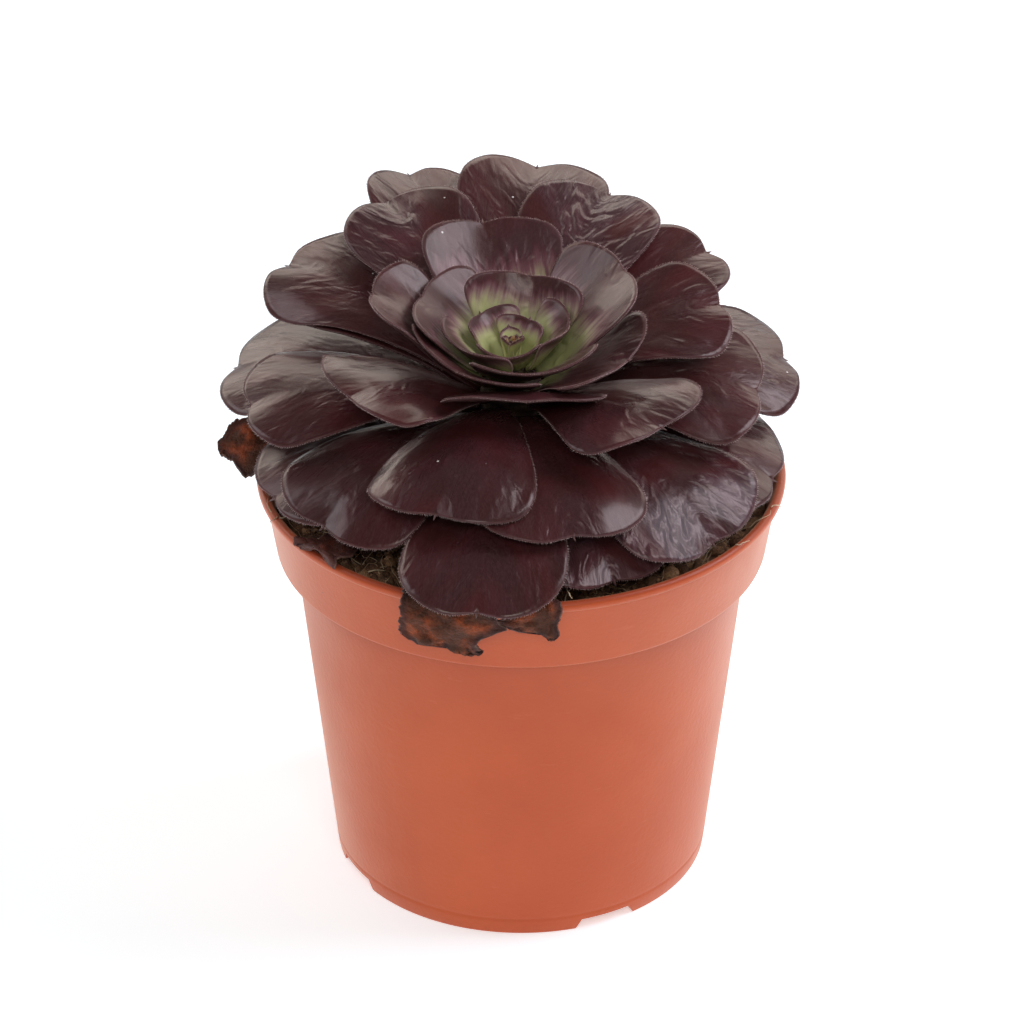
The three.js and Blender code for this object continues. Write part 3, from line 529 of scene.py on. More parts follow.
@shared_material("Withered leaf", {"Roughness": 0.6, "Specular IOR Level": 0.2})
def withered_material(nodes):
    """Dry leaf: rust and umber patches with a charred-looking rim."""
    margin = nodes.read("margin_distance")
    patches, grain = nodes.use(mottle_group(), {"Coarse": 190.0, "Fine": 1400.0})
    skin = nodes.paint(
        UMBER,
        (RUST, nodes.math("POWER", patches, 2.2)),
        (DRY_BROWN, grain, 0.35),
        (CHAR, nodes.ramp(nodes.minus(margin, patches), 1.9, 0.0), 0.85),
        (LEATHER, nodes.read("crinkle"), 0.8),
        (DRY_EDGE, nodes.ramp(margin, 0.3, 0.02), 0.22),
    )
    height = nodes.plus(patches, nodes.times(grain, 0.3))
    return {"Base Color": skin, "Normal": nodes.bump(height, 0.7 * MM, 0.8)}


DEEPER = (0.9, 0.82, 0.8)
# the first colour of these is painted shade for the inside of the pot, the second painted shadow for the
# wall below the band
INSIDE_SHADE_PLASTIC, SHADED_PLASTIC, RIM_PLASTIC = (0.33, 0.055, 0.03), (0.36, 0.05, 0.01), (0.3, 0.045, 0.018)
PEAT_DIRT, SCUFFED_PLASTIC = (0.12, 0.05, 0.03), (0.75, 0.32, 0.2)


@shared_material("Pot plastic", {
    "Specular IOR Level": 0.38, "Coat Weight": 0.08, "Coat Roughness": 0.3, "Sheen Weight": 0.28,
    "Sheen Roughness": 0.5, "Sheen Tint": (1.0, 0.62, 0.4), "Subsurface Weight": 0.08,
    "Subsurface Radius": (3 * MM, 1 * MM, 0.6 * MM)})
def pot_material(nodes):
    """Terracotta-coloured moulded plastic, a little scuffed, with specks of peat, and painted shade inside
    it and below its band.
    """
    plastic = bpy.context.scene.aeonium_pot.plastic
    patches, grain = nodes.use(mottle_group(), {"Coarse": 22.0, "Fine": 900.0})
    height = nodes.height()
    band = BAND_FOOT_HEIGHT * MM
    # painted shadow on the wall below the band, darkest just under it
    shade = nodes.plus(
        nodes.ramp(height, 48 * MM, band, 0.0, 0.28), nodes.ramp(height, band - 4 * MM, band, 0.0, 0.3))
    dirt = nodes.use(speck_group(), {"Spacing": 170.0, "Size": 0.06, "Share": 0.035})["Mask"]
    scuff = nodes.ramp(nodes.noise(nodes.stretched(nodes.place(), (1, 1, 7)), 90.0, 5.0, 0.65), 0.62, 0.75)
    skin = nodes.paint(
        plastic,
        ([channel * share for channel, share in zip(plastic, DEEPER)], patches),
        # painted shade over the inside of the pot
        (INSIDE_SHADE_PLASTIC, nodes.read("inner_wall"), 0.55),
        # painted shadow below the band
        (SHADED_PLASTIC, nodes.math("LESS_THAN", height, band), shade),
        (RIM_PLASTIC, nodes.ramp(height, 98 * MM, 98.9 * MM), 0.6),
        (PEAT_DIRT, dirt, nodes.ramp(height, 60 * MM, 98 * MM, 0.12, 0.8)),
        (SCUFFED_PLASTIC, scuff, 0.12),
    )
    rough = nodes.plus(nodes.ramp(patches, 0.0, 1.0, 0.36, 0.46), nodes.times(scuff, 0.12))
    return {"Base Color": skin, "Roughness": rough, "Normal": nodes.bump(grain, 0.05 * MM, 0.5)}


DARK_PEAT, PALE_PEAT = (0.05, 0.025, 0.016), (0.8, 0.47, 0.25)
BROWN_PEAT, BLACK_PEAT = (0.34, 0.17, 0.085), (0.03, 0.014, 0.01)
DARK_STRAW, PALE_STRAW = (0.5, 0.31, 0.18), (0.95, 0.78, 0.55)


@shared_material("Peat", {"Roughness": 0.85, "Specular IOR Level": 0.25})
def soil_material(nodes):
    """Dark peat: crumbs of several browns with pale fibres among them."""
    tone = nodes.read("crumb_tone")
    patches, grain = nodes.use(mottle_group(), {"Coarse": 330.0, "Fine": 2200.0})
    straw = nodes.paint(DARK_STRAW, (PALE_STRAW, tone))
    skin = nodes.paint(
        DARK_PEAT, (PALE_PEAT, tone), (BROWN_PEAT, patches, 0.45), (BLACK_PEAT, grain, 0.45),
        (straw, nodes.read("fibre")))
    height = nodes.plus(patches, nodes.times(grain, 0.5))
    return {"Base Color": skin, "Normal": nodes.bump(height, 0.5 * MM, 0.8)}


@shared_material("Stem bark", {"Roughness": 0.6, "Specular IOR Level": 0.3})
def stem_material(nodes):
    """Brown stem, still red where the leaves are rooted, with pale scars below."""
    patches, _ = nodes.use(mottle_group(), {"Coarse": 260.0, "Fine": 1500.0})
    bark = nodes.paint((0.05, 0.025, 0.014), ((0.16, 0.09, 0.05), patches))
    fresh = nodes.paint((0.03, 0.008, 0.008), ((0.06, 0.045, 0.02), patches))
    skin = nodes.paint(bark, (fresh, nodes.ramp(nodes.height(), 104 * MM, 112 * MM)))
    return {"Base Color": skin, "Normal": nodes.bump(patches, 0.6 * MM, 0.7)}


@shared_material("Heart buds", {"Roughness": 0.55, "Specular IOR Level": 0.4})
def bud_material(nodes):
    """Tiny dry tips in the heart, straw to rust."""
    patches, _ = nodes.use(mottle_group(), {"Coarse": 900.0, "Fine": 4000.0})
    return {"Base Color": nodes.paint((0.2, 0.075, 0.03), ((0.42, 0.3, 0.12), patches))}


@shared_material("Pale floor", {
    "Base Color": (0.78, 0.89, 0.93), "Roughness": 0.8, "Specular IOR Level": 0.0,
    "Emission Color": (1.0, 1.0, 1.0)})
def floor_material(nodes):
    """A pale floor with a soft light of its own."""
    seen = nodes.add("LightPath")["Is Camera Ray"]
    return {"Emission Strength": nodes.ramp(seen, 0.0, 1.0, 0.56, 0.47)}


# Points and faces
def smooth_step(value, low, high):
    share = np.clip((value - low) / (high - low), 0.0, 1.0)
    return share * share * (3 - 2 * share)


def spline_weights(count, places):
    """Weights that carry evenly spaced values onto a smooth curve through them, at places from 0 to 1."""
    weights = np.zeros((len(places), count))
    for row, place in zip(weights, places):
        step = min(place * (count - 1), count - 1 - 1e-9)
        first = int(step)
        f = step - first
        basis = (
            -0.5 * f + f * f - 0.5 * f ** 3,
            1 - 2.5 * f * f + 1.5 * f ** 3,
            0.5 * f + 2 * f * f - 1.5 * f ** 3,
            -0.5 * f * f + 0.5 * f ** 3,
        )
        for index, weight in zip(range(first - 1, first + 3), basis):
            if 0 <= index < count:
                row[index] += weight
            else:
                # beyond an end the curve runs straight on
                end, before = (0, 1) if index < 0 else (-1, -2)
                row[end] += 2 * weight
                row[before] -= weight
    return weights


def turned(points, degrees):
    """Points turned about the vertical through the origin."""
    sine, cosine = math.sin(math.radians(degrees)), math.cos(math.radians(degrees))
    return points @ np.array([[cosine, sine, 0], [-sine, cosine, 0], [0, 0, 1]])


def unit(vectors):
    return vectors / np.maximum(np.linalg.norm(vectors, axis=-1, keepdims=True), 1e-9)


def angles(sides):
    return [2 * math.pi * k / sides for k in range(sides)]


def polar(angle, radius, height=0.0):
    return np.array([radius * math.cos(angle), radius * math.sin(angle), height])


def tube_faces(rings, sides, inward=False):
    """Faces between rings of points that follow each other, and over the first and the last ring."""
    turn = -1 if inward else 1
    faces = []
    for ring in range(rings - 1):
        for k in range(sides):
            a, b = ring * sides + k, ring * sides + (k + 1) % sides
            faces.append((a, *(b, b + sides, a + sides)[::turn]))
    first, last = range(sides), range((rings - 1) * sides, rings * sides)
    return faces + [tuple(first[::-turn]), tuple(last[::turn])]


def put_in_scene(name, data):
    made = bpy.data.objects.new(name, data)
    bpy.context.scene.collection.objects.link(made)
    return made


def new_mesh_object(name, points, faces):
    """A mesh object of points in metres."""
    mesh = bpy.data.meshes.new(name)
    mesh.from_pydata(np.asarray(points).tolist(), [], faces)
    mesh.update()
    return put_in_scene(name, mesh)


class Shape:
    """Collects points in millimetres, faces and values at the points, and makes one mesh object of them.

    It is made with the name of each value and how many numbers the value has.
    """

    def __init__(self, **widths):
        self.widths = widths
        self.values = {name: [] for name in widths}
        self.points = []
        self.faces = []
        self.count = 0

    def add(self, points, faces, **values):
        self.faces.extend(tuple(i + self.count for i in face) for face in faces)
        self.points.append(points)
        self.count += len(points)
        for name, width in self.widths.items():
            value = np.reshape(values.get(name, np.zeros(width)), (-1, width))
            self.values[name].append(np.broadcast_to(value, (len(points), width)))

    def build(self, name, material):
        """Makes the piece, kept inside the frame's box."""
        low, high = (np.array(corner) for corner in FRAME_BOX)
        made = new_mesh_object(name, np.clip(np.concatenate(self.points) * MM, low, high), self.faces)
        made.data.shade_smooth()
        for value, parts in self.values.items():
            kind, field = ("FLOAT", "value") if self.widths[value] == 1 else ("FLOAT_VECTOR", "vector")
            layer = made.data.attributes.new(value, kind, "POINT")
            layer.data.foreach_set(field, np.concatenate(parts).astype(np.float32).ravel())
        made.data.materials.append(material)
        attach(made, "root")
        return made


# Leaves
LEAF_VALUES = {
    "leaf_share": 3, "blade_place": 3, "margin_distance": 1, "green_reach": 1, "crinkle": 1, "underside": 1,
    "fringe": 1,
}


def sheet_faces(rows, columns):
    """Quads of a grid of rows and columns of points, closed by one point beyond its last row."""
    faces = [(a, a + columns, a + columns + 1, a + 1)
             for row in range(rows - 1) for a in range(row * columns, (row + 1) * columns - 1)]
    tip = rows * columns
    return faces + [(a, tip, a + 1) for a in range(tip - columns, tip - 1)]


def sheet_margin(rows, columns):
    """The grid's edge as a loop: across the root, out along the left, the tip, back along the right."""
    tip = rows * columns
    left, right = range(2 * columns - 1, tip, columns), range(tip - columns, 0, -columns)
    return [*range(columns), *left, tip, *right]


def with_one_tip(values):
    """The values of a grid's points in a row, with only one point for its last row."""
    return np.concatenate([values[:-1].reshape(-1, *values.shape[2:]), values[-1, :1]])


def in_threes(*parts):
    return with_one_tip(np.stack(np.broadcast_arrays(*parts), axis=2))


def fine_sheet(grid, halves, rows, columns):
    """A smooth fine grid through a coarse one: places along and across, points, half thickness, facing."""
    along = np.linspace(0, 1, rows + 1)
    across = np.linspace(0, 1, columns + 1)
    row_weights = spline_weights(grid.shape[0], along)
    column_weights = spline_weights(grid.shape[1], across)
    surface = np.einsum("ri,cj,ijk->rck", row_weights, column_weights, grid)
    thickness = np.einsum("ri,cj,ij->rc", row_weights, column_weights, halves)
    facing = unit(np.cross(np.gradient(surface, axis=0), np.gradient(surface, axis=1)))
    facing[-1] = unit(facing[-2].mean(axis=0))
    return along, across * 2 - 1, surface, thickness, facing


def add_leaf(shape, grid, halves, size, number, random, grown=0.0, green=NO_GREEN, crinkle=0.0, hair=0.0,
             hair_spacing=4.0, curl=0.0):
    """Adds a leaf on a coarse grid: two faces, a rounded rim, a fringe of hairs and a point at its tip."""
    rows, columns = size
    along, across, surface, thickness, facing = fine_sheet(grid, halves, rows, columns)
    if curl:
        bend = curl * np.clip((along - CURL_START) / (1 - CURL_START), 0, 1) ** 2
        surface = surface - facing * bend[:, None, None]
        _, _, surface, _, facing = fine_sheet(surface, thickness, rows, columns)
    points, normals, half = map(with_one_tip, (surface, facing, thickness[:, :, None]))
    loop = sheet_margin(rows, columns + 1)
    edge = points[loop]
    ahead = unit(np.roll(edge, -1, axis=0) - np.roll(edge, 1, axis=0))
    outward = unit(np.cross(normals[loop], ahead))
    beads = edge + outward * RIM_BEAD
    # the free margin, without the root's edge, and how far each point lies from it
    free = slice(columns, None)
    distance = np.sqrt(((points[:, None] - edge[free]) ** 2).sum(axis=2).min(axis=1))
    half_width = np.linalg.norm(surface[:, -1] - surface[:, 0], axis=1) / 2
    length = np.linalg.norm(np.diff(surface[:, (columns + 1) // 2], axis=0), axis=1).sum()
    along = along[:, None]
    aside = (along < 1) * across
    share = in_threes(along, np.abs(aside), grown)
    blade = in_threes(aside * half_width[:, None], along * length, number * LEAF_SPACING)
    count = len(points)
    faces = sheet_faces(rows, columns + 1)
    faces += [tuple(i + count for i in reversed(face)) for face in faces]
    for k, (a, b) in enumerate(zip(loop, loop[1:] + loop[:1])):
        c, d = 2 * count + k, 2 * count + (k + 1) % len(loop)
        faces += [(a, b, d, c), (c, d, b + count, a + count)]
    shape.add(
        np.vstack([points + normals * half, points - normals * half, beads]), faces,
        leaf_share=np.vstack([share, share, share[loop]]),
        blade_place=np.vstack([blade, blade + (0, 0, FACE_SPACING), blade[loop]]),
        margin_distance=np.concatenate([distance, distance, np.zeros(len(loop))]),
        green_reach=green, crinkle=crinkle, underside=np.repeat((0.0, 1.0, 0.3), (count, count, len(loop))))
    add_fringe(
        shape, beads[free], outward[free], normals[loop][free], ahead[free], hair, hair_spacing, random,
        leaf_share=(1.0, 1.0, grown), blade_place=(0.0, 0.0, number * LEAF_SPACING), green_reach=green)


def add_fringe(shape, margin, outward, facing, ahead, length, spacing, random, **values):
    """Adds the hairs along a leaf's free margin, and the small point in the notch of its tip."""
    gaps = np.linalg.norm(np.diff(margin, axis=0), axis=1)
    run = np.concatenate([[0.0], np.cumsum(gaps)])
    tip = len(margin) // 2
    places = np.arange(run[-1] * 0.06, run[-1] * 0.94, spacing)
    places = places + random.uniform(-0.3, 0.3, len(places)) * spacing
    drawn = random.uniform((0.1, -0.25, 0.6), (0.55, 0.35, 1.25), (len(places), 3))
    lean, lift, stretch = drawn.T[:, :, None]
    after = np.minimum(np.searchsorted(run, places), len(margin) - 1)
    before = np.maximum(after - 1, 0)
    share = np.where(after == 0, 0.0, (places - run[before]) / np.maximum(gaps[before], 1e-6))[:, None]
    lean = np.where(after <= tip, 1, -1)[:, None] * lean
    bases = margin[before] + (margin[after] - margin[before]) * share - outward[after] * 0.06
    bases = np.vstack([bases, margin[tip] - outward[tip] * 0.3])
    directions = outward[after] + ahead[after] * lean + facing[after] * lift
    directions = unit(np.vstack([directions, outward[tip] + facing[tip] * 0.15]))
    lengths = length * np.vstack([stretch, POINT_HAIR_LENGTHS])
    radii = np.vstack([np.full_like(stretch, HAIR_RADIUS), POINT_RADIUS])
    first_side = unit(np.cross(directions, facing[np.append(after, tip)]))
    second_side = unit(np.cross(directions, first_side))
    corners = [
        bases + (first_side * math.cos(turn) + second_side * math.sin(turn)) * radii for turn in angles(3)]
    points = np.stack([*corners, bases + directions * lengths], axis=1).reshape(-1, 3)
    faces = [(a + k, a + (k + 1) % 3, a + 3) for a in range(0, len(points), 4) for k in range(3)]
    hair = np.tile((1.0, 1.0, 1.0, 0.85), len(bases))
    hair[-4:] = (0.0, 0.0, 0.0, 0.3)
    shape.add(points, faces, fringe=hair, **values)


def root_of(index):
    """Radius and height at which a leaf is rooted in the stem."""
    radius = min(ROOT_RADIUS_LAST, ROOT_RADIUS_FIRST + ROOT_RADIUS_STEP * index)
    return radius, TOP_LEAF_HEIGHT - LEAF_HEIGHT_STEP * index


def settled_shift(vertices, point, normal, half):
    """How far the frame's leaf lies from a point, along its facing: halfway between its two faces."""
    offset = vertices - point
    along = offset @ normal
    aside = np.linalg.norm(offset - along[:, None] * normal, axis=1)
    near = np.unique(np.round(along[(aside < 0.03) & (np.abs(along) < 30)], 4))
    pairs = [(a + b) / 2 for a in near for b in near if abs(a - b - 2 * half) < 0.04]
    if not pairs:
        raise RuntimeError("a leaf of the frame has no corner where its table puts one")
    return min(pairs, key=abs)


class Leaf:
    """A leaf of the table: its centre line from its root to its tip, and its cross section."""

    def __init__(self, index, azimuth, reach, height, width, droop, cup, roll=0, left_fold=0, right_fold=0):
        self.root_radius, self.root_height = root_of(index)
        run, rise = reach - self.root_radius, height - self.root_height
        self.azimuth = azimuth
        self.turn = math.radians(droop or 0.01)
        self.start = math.atan2(rise, run) + self.turn / 2
        self.bow = math.hypot(run, rise) / 2 / math.sin(self.turn / 2)
        self.half_width = width / 2
        self.cup = math.radians(cup) or 0.001
        self.roll = math.radians(roll)
        self.folds = (left_fold, right_fold)
        self.grown = float(smooth_step(index, LAST_YOUNG_LEAF, FIRST_OLD_LEAF))
        self.wave = index * WAVE_TURN

    def point(self, along, across):
        """A point of the middle surface before it settles, and the way that its upper side faces."""
        angle = self.start - self.turn * along
        out = self.bow * (math.sin(self.start) - math.sin(angle)) + self.root_radius
        rise = self.bow * (math.cos(angle) - math.cos(self.start)) + self.root_height
        rolled = self.roll * min(1.0, 1.4 * along)
        up = np.array([-math.sin(angle), 0.0, math.cos(angle)])
        left = np.array([0.0, 1.0, 0.0])
        upward = up * math.cos(rolled) - left * math.sin(rolled)
        leftward = left * math.cos(rolled) + up * math.sin(rolled)
        curvature = self.cup * (1 - 0.25 * along) / self.half_width
        bend = curvature * across * self.half_width
        blade = min(max((along - 0.3) / 0.6, 0.0), 1.2) ** 1.5
        fold = self.folds[across < 0] * abs(across) ** 2.2
        wave = math.sin(2 * math.pi * (along * WAVES_ALONG + np.sign(across) * 0.25) + self.wave)
        ripple = WAVE_HEIGHT * self.grown * across * across * wave
        lift = (1 - math.cos(bend)) / curvature + self.half_width * blade * (fold + ripple)
        point = np.array([out, 0.0, rise]) + leftward * (math.sin(bend) / curvature) + upward * lift
        normal = upward * math.cos(bend) - leftward * math.sin(bend)
        return turned(point, self.azimuth) + ROSETTE_CENTRE, turned(normal, self.azimuth)

    def margin(self, row):
        """Share of the length and of the half width at which the margin passes a row of the grid."""
        ends = zip(YOUNG_OUTLINE[row], OLD_OUTLINE[row])
        along, across = (young + (old - young) * self.grown for young, old in ends)
        root_share = (ROOT_WIDTH_SHARE * self.root_radius + 1) / self.half_width
        if row == 0:
            across = root_share
        if row == 1:
            across = max(across, root_share + 0.04)
        if row == LAST_ROW:
            along = 1 - NOTCH_DEPTH
        return along, across

    def grid(self, node):
        """The coarse grid of points and half thicknesses, taken to where the frame's leaf has settled."""
        vertices = np.array([vertex.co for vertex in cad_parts[node].data.vertices]) / MM
        middle = YOUNG_HALF_THICKNESS + (OLD_HALF_THICKNESS - YOUNG_HALF_THICKNESS) * self.grown
        grid = np.zeros((LAST_ROW + 1, len(GRID_SIDES), 3))
        halves = np.zeros(grid.shape[:2])
        for r in range(LAST_ROW + 1):
            at_tip = r == LAST_ROW
            margin_along, margin_across = self.margin(r)
            midrib = (1 - NOTCH_DEPTH) * (r / LAST_ROW) ** 0.95
            for c, side in enumerate((0,) if at_tip else GRID_SIDES):
                along = midrib + (margin_along - midrib) * abs(side) ** 1.6
                point, normal = self.point(along, margin_across * side)
                body = ROOT_HALF_THICKNESS + (middle - ROOT_HALF_THICKNESS) * smooth_step(along, 0, 0.35)
                thinning = 1.0 if at_tip else max(abs(side) ** 2.4, smooth_step(along, 0.72, 1.02))
                half = body + (MARGIN_HALF_THICKNESS - body) * thinning
                cells = slice(None) if at_tip else c
                grid[r, cells] = point + normal * settled_shift(vertices, point, normal, half)
                halves[r, cells] = half
        return grid, halves


class AEONIUM_OT_leaves(Operator):
    """Build the leaves of the rosette"""
    bl_idname = "aeonium.leaves"
    bl_label = "Leaves"

    def execute(self, context):
        settings = context.scene.aeonium_leaves
        for index, row in enumerate(LEAVES):
            name = f"leaf_{index + 1:02d}"
            leaf = Leaf(index, *row)
            shape = Shape(**LEAF_VALUES)
            add_leaf(
                shape, *leaf.grid(name), (settings.rows, settings.columns), index + 1,
                np.random.default_rng(100 + index), grown=leaf.grown,
                green=GREEN_REACH[index] if index < len(GREEN_REACH) else NO_GREEN,
                crinkle=PUCKERED.get(index + 1, HARDLY_PUCKERED),
                hair=settings.fringe_length / MM * (0.7 + 0.3 * leaf.grown),
                hair_spacing=settings.fringe_spacing / MM, curl=TIP_CURL * leaf.grown)
            made = shape.build(f"Leaf_{index + 1:02d}", leaf_material())
            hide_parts(name)
        return {"FINISHED"}


# Heart
def heart_leaf_grid(number):
    """One of the smallest leaves: upright and cupped, the outer ones longer and leaning out."""
    share = number / (HEART_LEAVES - 1)
    length = 2.6 + 3.8 * share
    lean = math.radians(82 - 20 * share)
    cup = math.radians(60)
    radius = (1.1 + 1.8 * share) / cup
    sides = np.linspace(-1, 1, 5)
    along, width = np.array(HEART_OUTLINE).T[:, :, None]
    bend = cup * sides * width
    inward = radius * (1 - np.cos(bend))
    out = along * length * math.cos(lean) + 0.35 - inward * math.sin(lean)
    height = along * length * math.sin(lean) + inward * math.cos(lean) + 0.96
    grid = turned(np.stack([out, radius * np.sin(bend), height], axis=2), HEART_LEAF_TURN * number)
    halves = np.tile(0.36 - 0.12 * np.abs(sides), (len(along), 1))
    return grid + ROSETTE_CENTRE + (0, 0, HEART_BOTTOM), halves


@cache
def ball():
    """Points and faces of a ball of twenty faces, split once."""
    made = bmesh.new()
    bmesh.ops.create_icosphere(made, subdivisions=2, radius=1.0)
    points = np.array([vertex.co for vertex in made.verts])
    faces = [tuple(vertex.index for vertex in face.verts) for face in made.faces]
    made.free()
    return points, faces


def add_ball(shape, centre, radii, random, rough, **values):
    """Adds a small uneven ball."""
    points, faces = ball()
    points = points * (1 + random.uniform(-rough, rough, (len(points), 1)))
    shape.add(points * radii + centre, faces, **values)


class AEONIUM_OT_heart(Operator):
    """Build the smallest leaves and the buds at the tip of the stem"""
    bl_idname = "aeonium.heart"
    bl_label = "Heart"

    def execute(self, context):
        random = np.random.default_rng(7)
        shape = Shape(**LEAF_VALUES)
        for number in range(HEART_LEAVES):
            add_leaf(
                shape, *heart_leaf_grid(number), (14, 12), 60 + number, random,
                green=0.7 + 0.02 * number, hair=0.22, hair_spacing=0.4)
        made = shape.build("Heart", leaf_material())
        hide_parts("heart")
        buds = Shape()
        for x, y, size in HEART_BUDS:
            centre = ROSETTE_CENTRE + (x, y, HEART_BOTTOM + 4.6)
            add_ball(buds, centre, (size, size, size * 1.6), random, 0.12)
        buds.build("Heart_buds", bud_material())
        return {"FINISHED"}


# Withered leaves
def withered_grid(seed, azimuth, tilt, crumple, line, half_widths):
    """The coarse grid of a withered leaf, lying over the rim of the pot."""
    rows = len(line)
    row = np.arange(rows)[:, None]
    share = row / (rows - 1)
    side = np.array(GRID_SIDES)
    fine_line = spline_weights(rows, np.linspace(0, 1, 10 * (rows - 1) + 1)) @ np.array(line, float)
    run, rise = unit(np.gradient(fine_line, axis=0))[::10].T[:, :, None]
    radius, height = np.array(line, float).T[:, :, None]
    tear = RAGGEDNESS * np.sin(seed * 2.1 + row * 2.6 + np.sign(side) * 1.4)
    across = np.array(half_widths)[:, None] * side * (1 + tear * np.abs(side))
    fold = crumple * smooth_step(share, 0.5, 0.9) * np.abs(side) * np.sin(seed + row * 2.2 + side * 2.3)
    rolled = math.radians(tilt) * smooth_step(share, 0.2, 0.8)
    angle = math.radians(azimuth) + across * np.cos(rolled) / np.maximum(radius, 14)
    radius = radius - rise * fold
    height = height + run * fold - across * np.sin(rolled)
    grid = np.stack([radius * np.cos(angle), radius * np.sin(angle), height], axis=2) + POT_AXIS
    return grid + (ROSETTE_CENTRE - POT_AXIS) * (1 - smooth_step(share, 0, 0.6))[:, :, None]


def crumpled(surface, facing, seed):
    """The sheet with the small uneven folds of a dry leaf, none at its root."""
    coarse, fine = Vector((seed * 9.0, 0, 0)), Vector((0, seed * 7.0, 0))
    shift = np.array([
        [noise.noise(Vector(point * 0.22) + coarse) + 0.45 * noise.noise(Vector(point * 0.6) + fine)
         for point in row] for row in surface])
    share = np.linspace(0, 1, len(surface))[:, None]
    return surface + facing * (shift * CRUMPLE_DEPTH * smooth_step(share, 0.35, 0.7))[:, :, None]


def torn(surface, sides, hem, random):
    """The sheet with its two side margins and its end torn to a table, and small tears all along them."""
    rows, columns = surface.shape[:2]
    share = np.linspace(0, 1, rows)
    across = np.linspace(-1, 1, columns)
    nicks = random.uniform(-0.07, 0.03, (rows, 2)) * smooth_step(share, 0.4, 0.6)[:, None]
    places, *kept = np.array(sides).T
    kept = np.stack([np.interp(share, places, side) for side in kept], axis=1) + nicks
    middle = surface[:, columns // 2][:, None]
    ragged = middle + (surface - middle) * kept[:, (across >= 0).astype(int), None]
    places, drops = np.array(hem).T
    drop = np.interp(across, places, drops) + random.uniform(-0.25, 0.1, columns)
    ahead = unit(np.gradient(surface, axis=0))
    ragged += ahead * np.outer(smooth_step(share, 0.72, 1.0), drop)[:, :, None]
    ragged[-1] = ragged[-2, columns // 2]
    return ragged


class AEONIUM_OT_withered(Operator):
    """Build the dry leaves that hang over the rim of the pot"""
    bl_idname = "aeonium.withered"
    bl_label = "Withered leaves"

    def execute(self, context):
        for index, (row, tears) in enumerate(zip(WITHERED, TEARS)):
            random = np.random.default_rng(50 + index)
            grid = withered_grid(index + 1, *row)
            halves = np.full(grid.shape[:2], WITHERED_HALF_THICKNESS)
            _, _, surface, halves, facing = fine_sheet(grid, halves, *WITHERED_SIZE)
            surface = torn(crumpled(surface, facing, index + 1), *tears, random)
            shape = Shape(**LEAF_VALUES)
            add_leaf(shape, surface, halves, WITHERED_SIZE, 80 + index, random, grown=1.0,
                     crinkle=float(index == LEATHERY_LEAF))
            made = shape.build(f"Withered_leaf_{index + 1}", withered_material())
            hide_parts(f"withered_leaf_{index + 1}")
        return {"FINISHED"}


# Stem
class AEONIUM_OT_stem(Operator):
    """Build the short stem, ringed with the scars of fallen leaves"""
    bl_idname = "aeonium.stem"
    bl_label = "Stem"

    def execute(self, context):
        rings, sides = 90, 48
        outline = [(STEM_RADIUS - 1, STEM_BOTTOM), (STEM_RADIUS, STEM_BOTTOM + 3)]
        outline += [(radius - LEAF_SEAT, height) for radius, height in map(root_of, (14, 10, 6, 3, 0))]
        radii, levels = np.array(outline).T
        heights = np.linspace(STEM_BOTTOM + 0.5, STEM_TOP - 0.3, rings)
        points = []
        for height, radius in zip(heights, np.interp(heights, levels, radii)):
            for angle in angles(sides):
                scar = 0.22 * math.sin(height * 2.4 + 3 * math.sin(angle * 2 + height * 0.4))
                reach = radius - 0.25 + scar * min(1.0, radius / STEM_RADIUS)
                points.append(polar(angle, reach, height))
        shape = Shape()
        shape.add(points + ROSETTE_CENTRE, tube_faces(rings, sides))
        made = shape.build("Stem", stem_material())
        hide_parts("stem")
        return {"FINISHED"}


# Soil
def soil_height(x, y):
    """Level of the soil's surface, with its lumps, over a point measured from the pot's axis."""
    lumps = math.sin(x * 0.31 + 1.3) * math.cos(y * 0.27 - 0.4) + 0.6 * math.sin(x * 0.53 - y * 0.47)
    slope = 0.9 * math.sin(math.atan2(y, x) + 0.6) * min(1.0, math.hypot(x, y) / 50)
    place = Vector((x, y, 0.0))
    scales = ((0.35, 0.9), (0.9, 0.55), (2.1, 0.25))
    fine = sum(noise.noise(place * scale) * height for scale, height in scales)
    return SOIL_LEVEL + 0.6 * lumps + slope + fine


def on_surface(angle, radius, above=0.0):
    """A point over the soil's surface, measured from the pot's axis."""
    x, y, _ = polar(angle, radius)
    return np.array([x, y, soil_height(x, y) + above])


def outer_radius(height):
    """Radius of the pot's outside at a height, below the band."""
    return FOOT_RADIUS + (WALL_TOP_RADIUS - FOOT_RADIUS) * height / BAND_FOOT_HEIGHT


def inner_radius(height):
    """Radius of the pot's inside at a height."""
    step = BAND_FOOT_HEIGHT + 1.2
    if height > step:
        share = (height - step) / (POT_HEIGHT - LIP_DEPTH - step)
        return BAND_FOOT_RADIUS + (BAND_TOP_RADIUS - BAND_FOOT_RADIUS) * share - WALL_THICKNESS
    return outer_radius(height) - WALL_THICKNESS


def add_fibre(shape, start, heading, length, radius, random, settle, bend=0.45):
    """Adds one crooked fibre as a thin tube of four sides."""
    steps = 9
    points = [start]
    for _ in range(steps):
        heading = unit(heading + random.uniform(-bend, bend, 3))
        points.append(settle(points[-1] + heading * (length / steps)))
    points = np.array(points)
    ahead = unit(np.gradient(points, axis=0))
    side = unit(np.cross(ahead, (0.0, 0.0, 1.0)))
    over = unit(np.cross(ahead, side))
    thick = radius * np.linspace(1.0, 0.45, steps + 1)[:, None]
    rings = [points + (side * math.cos(turn) + over * math.sin(turn)) * thick for turn in angles(4)]
    shape.add(np.stack(rings, axis=1).reshape(-1, 3), tube_faces(steps + 1, 4),
              fibre=1.0, crumb_tone=random.uniform(0.0, 1.0))


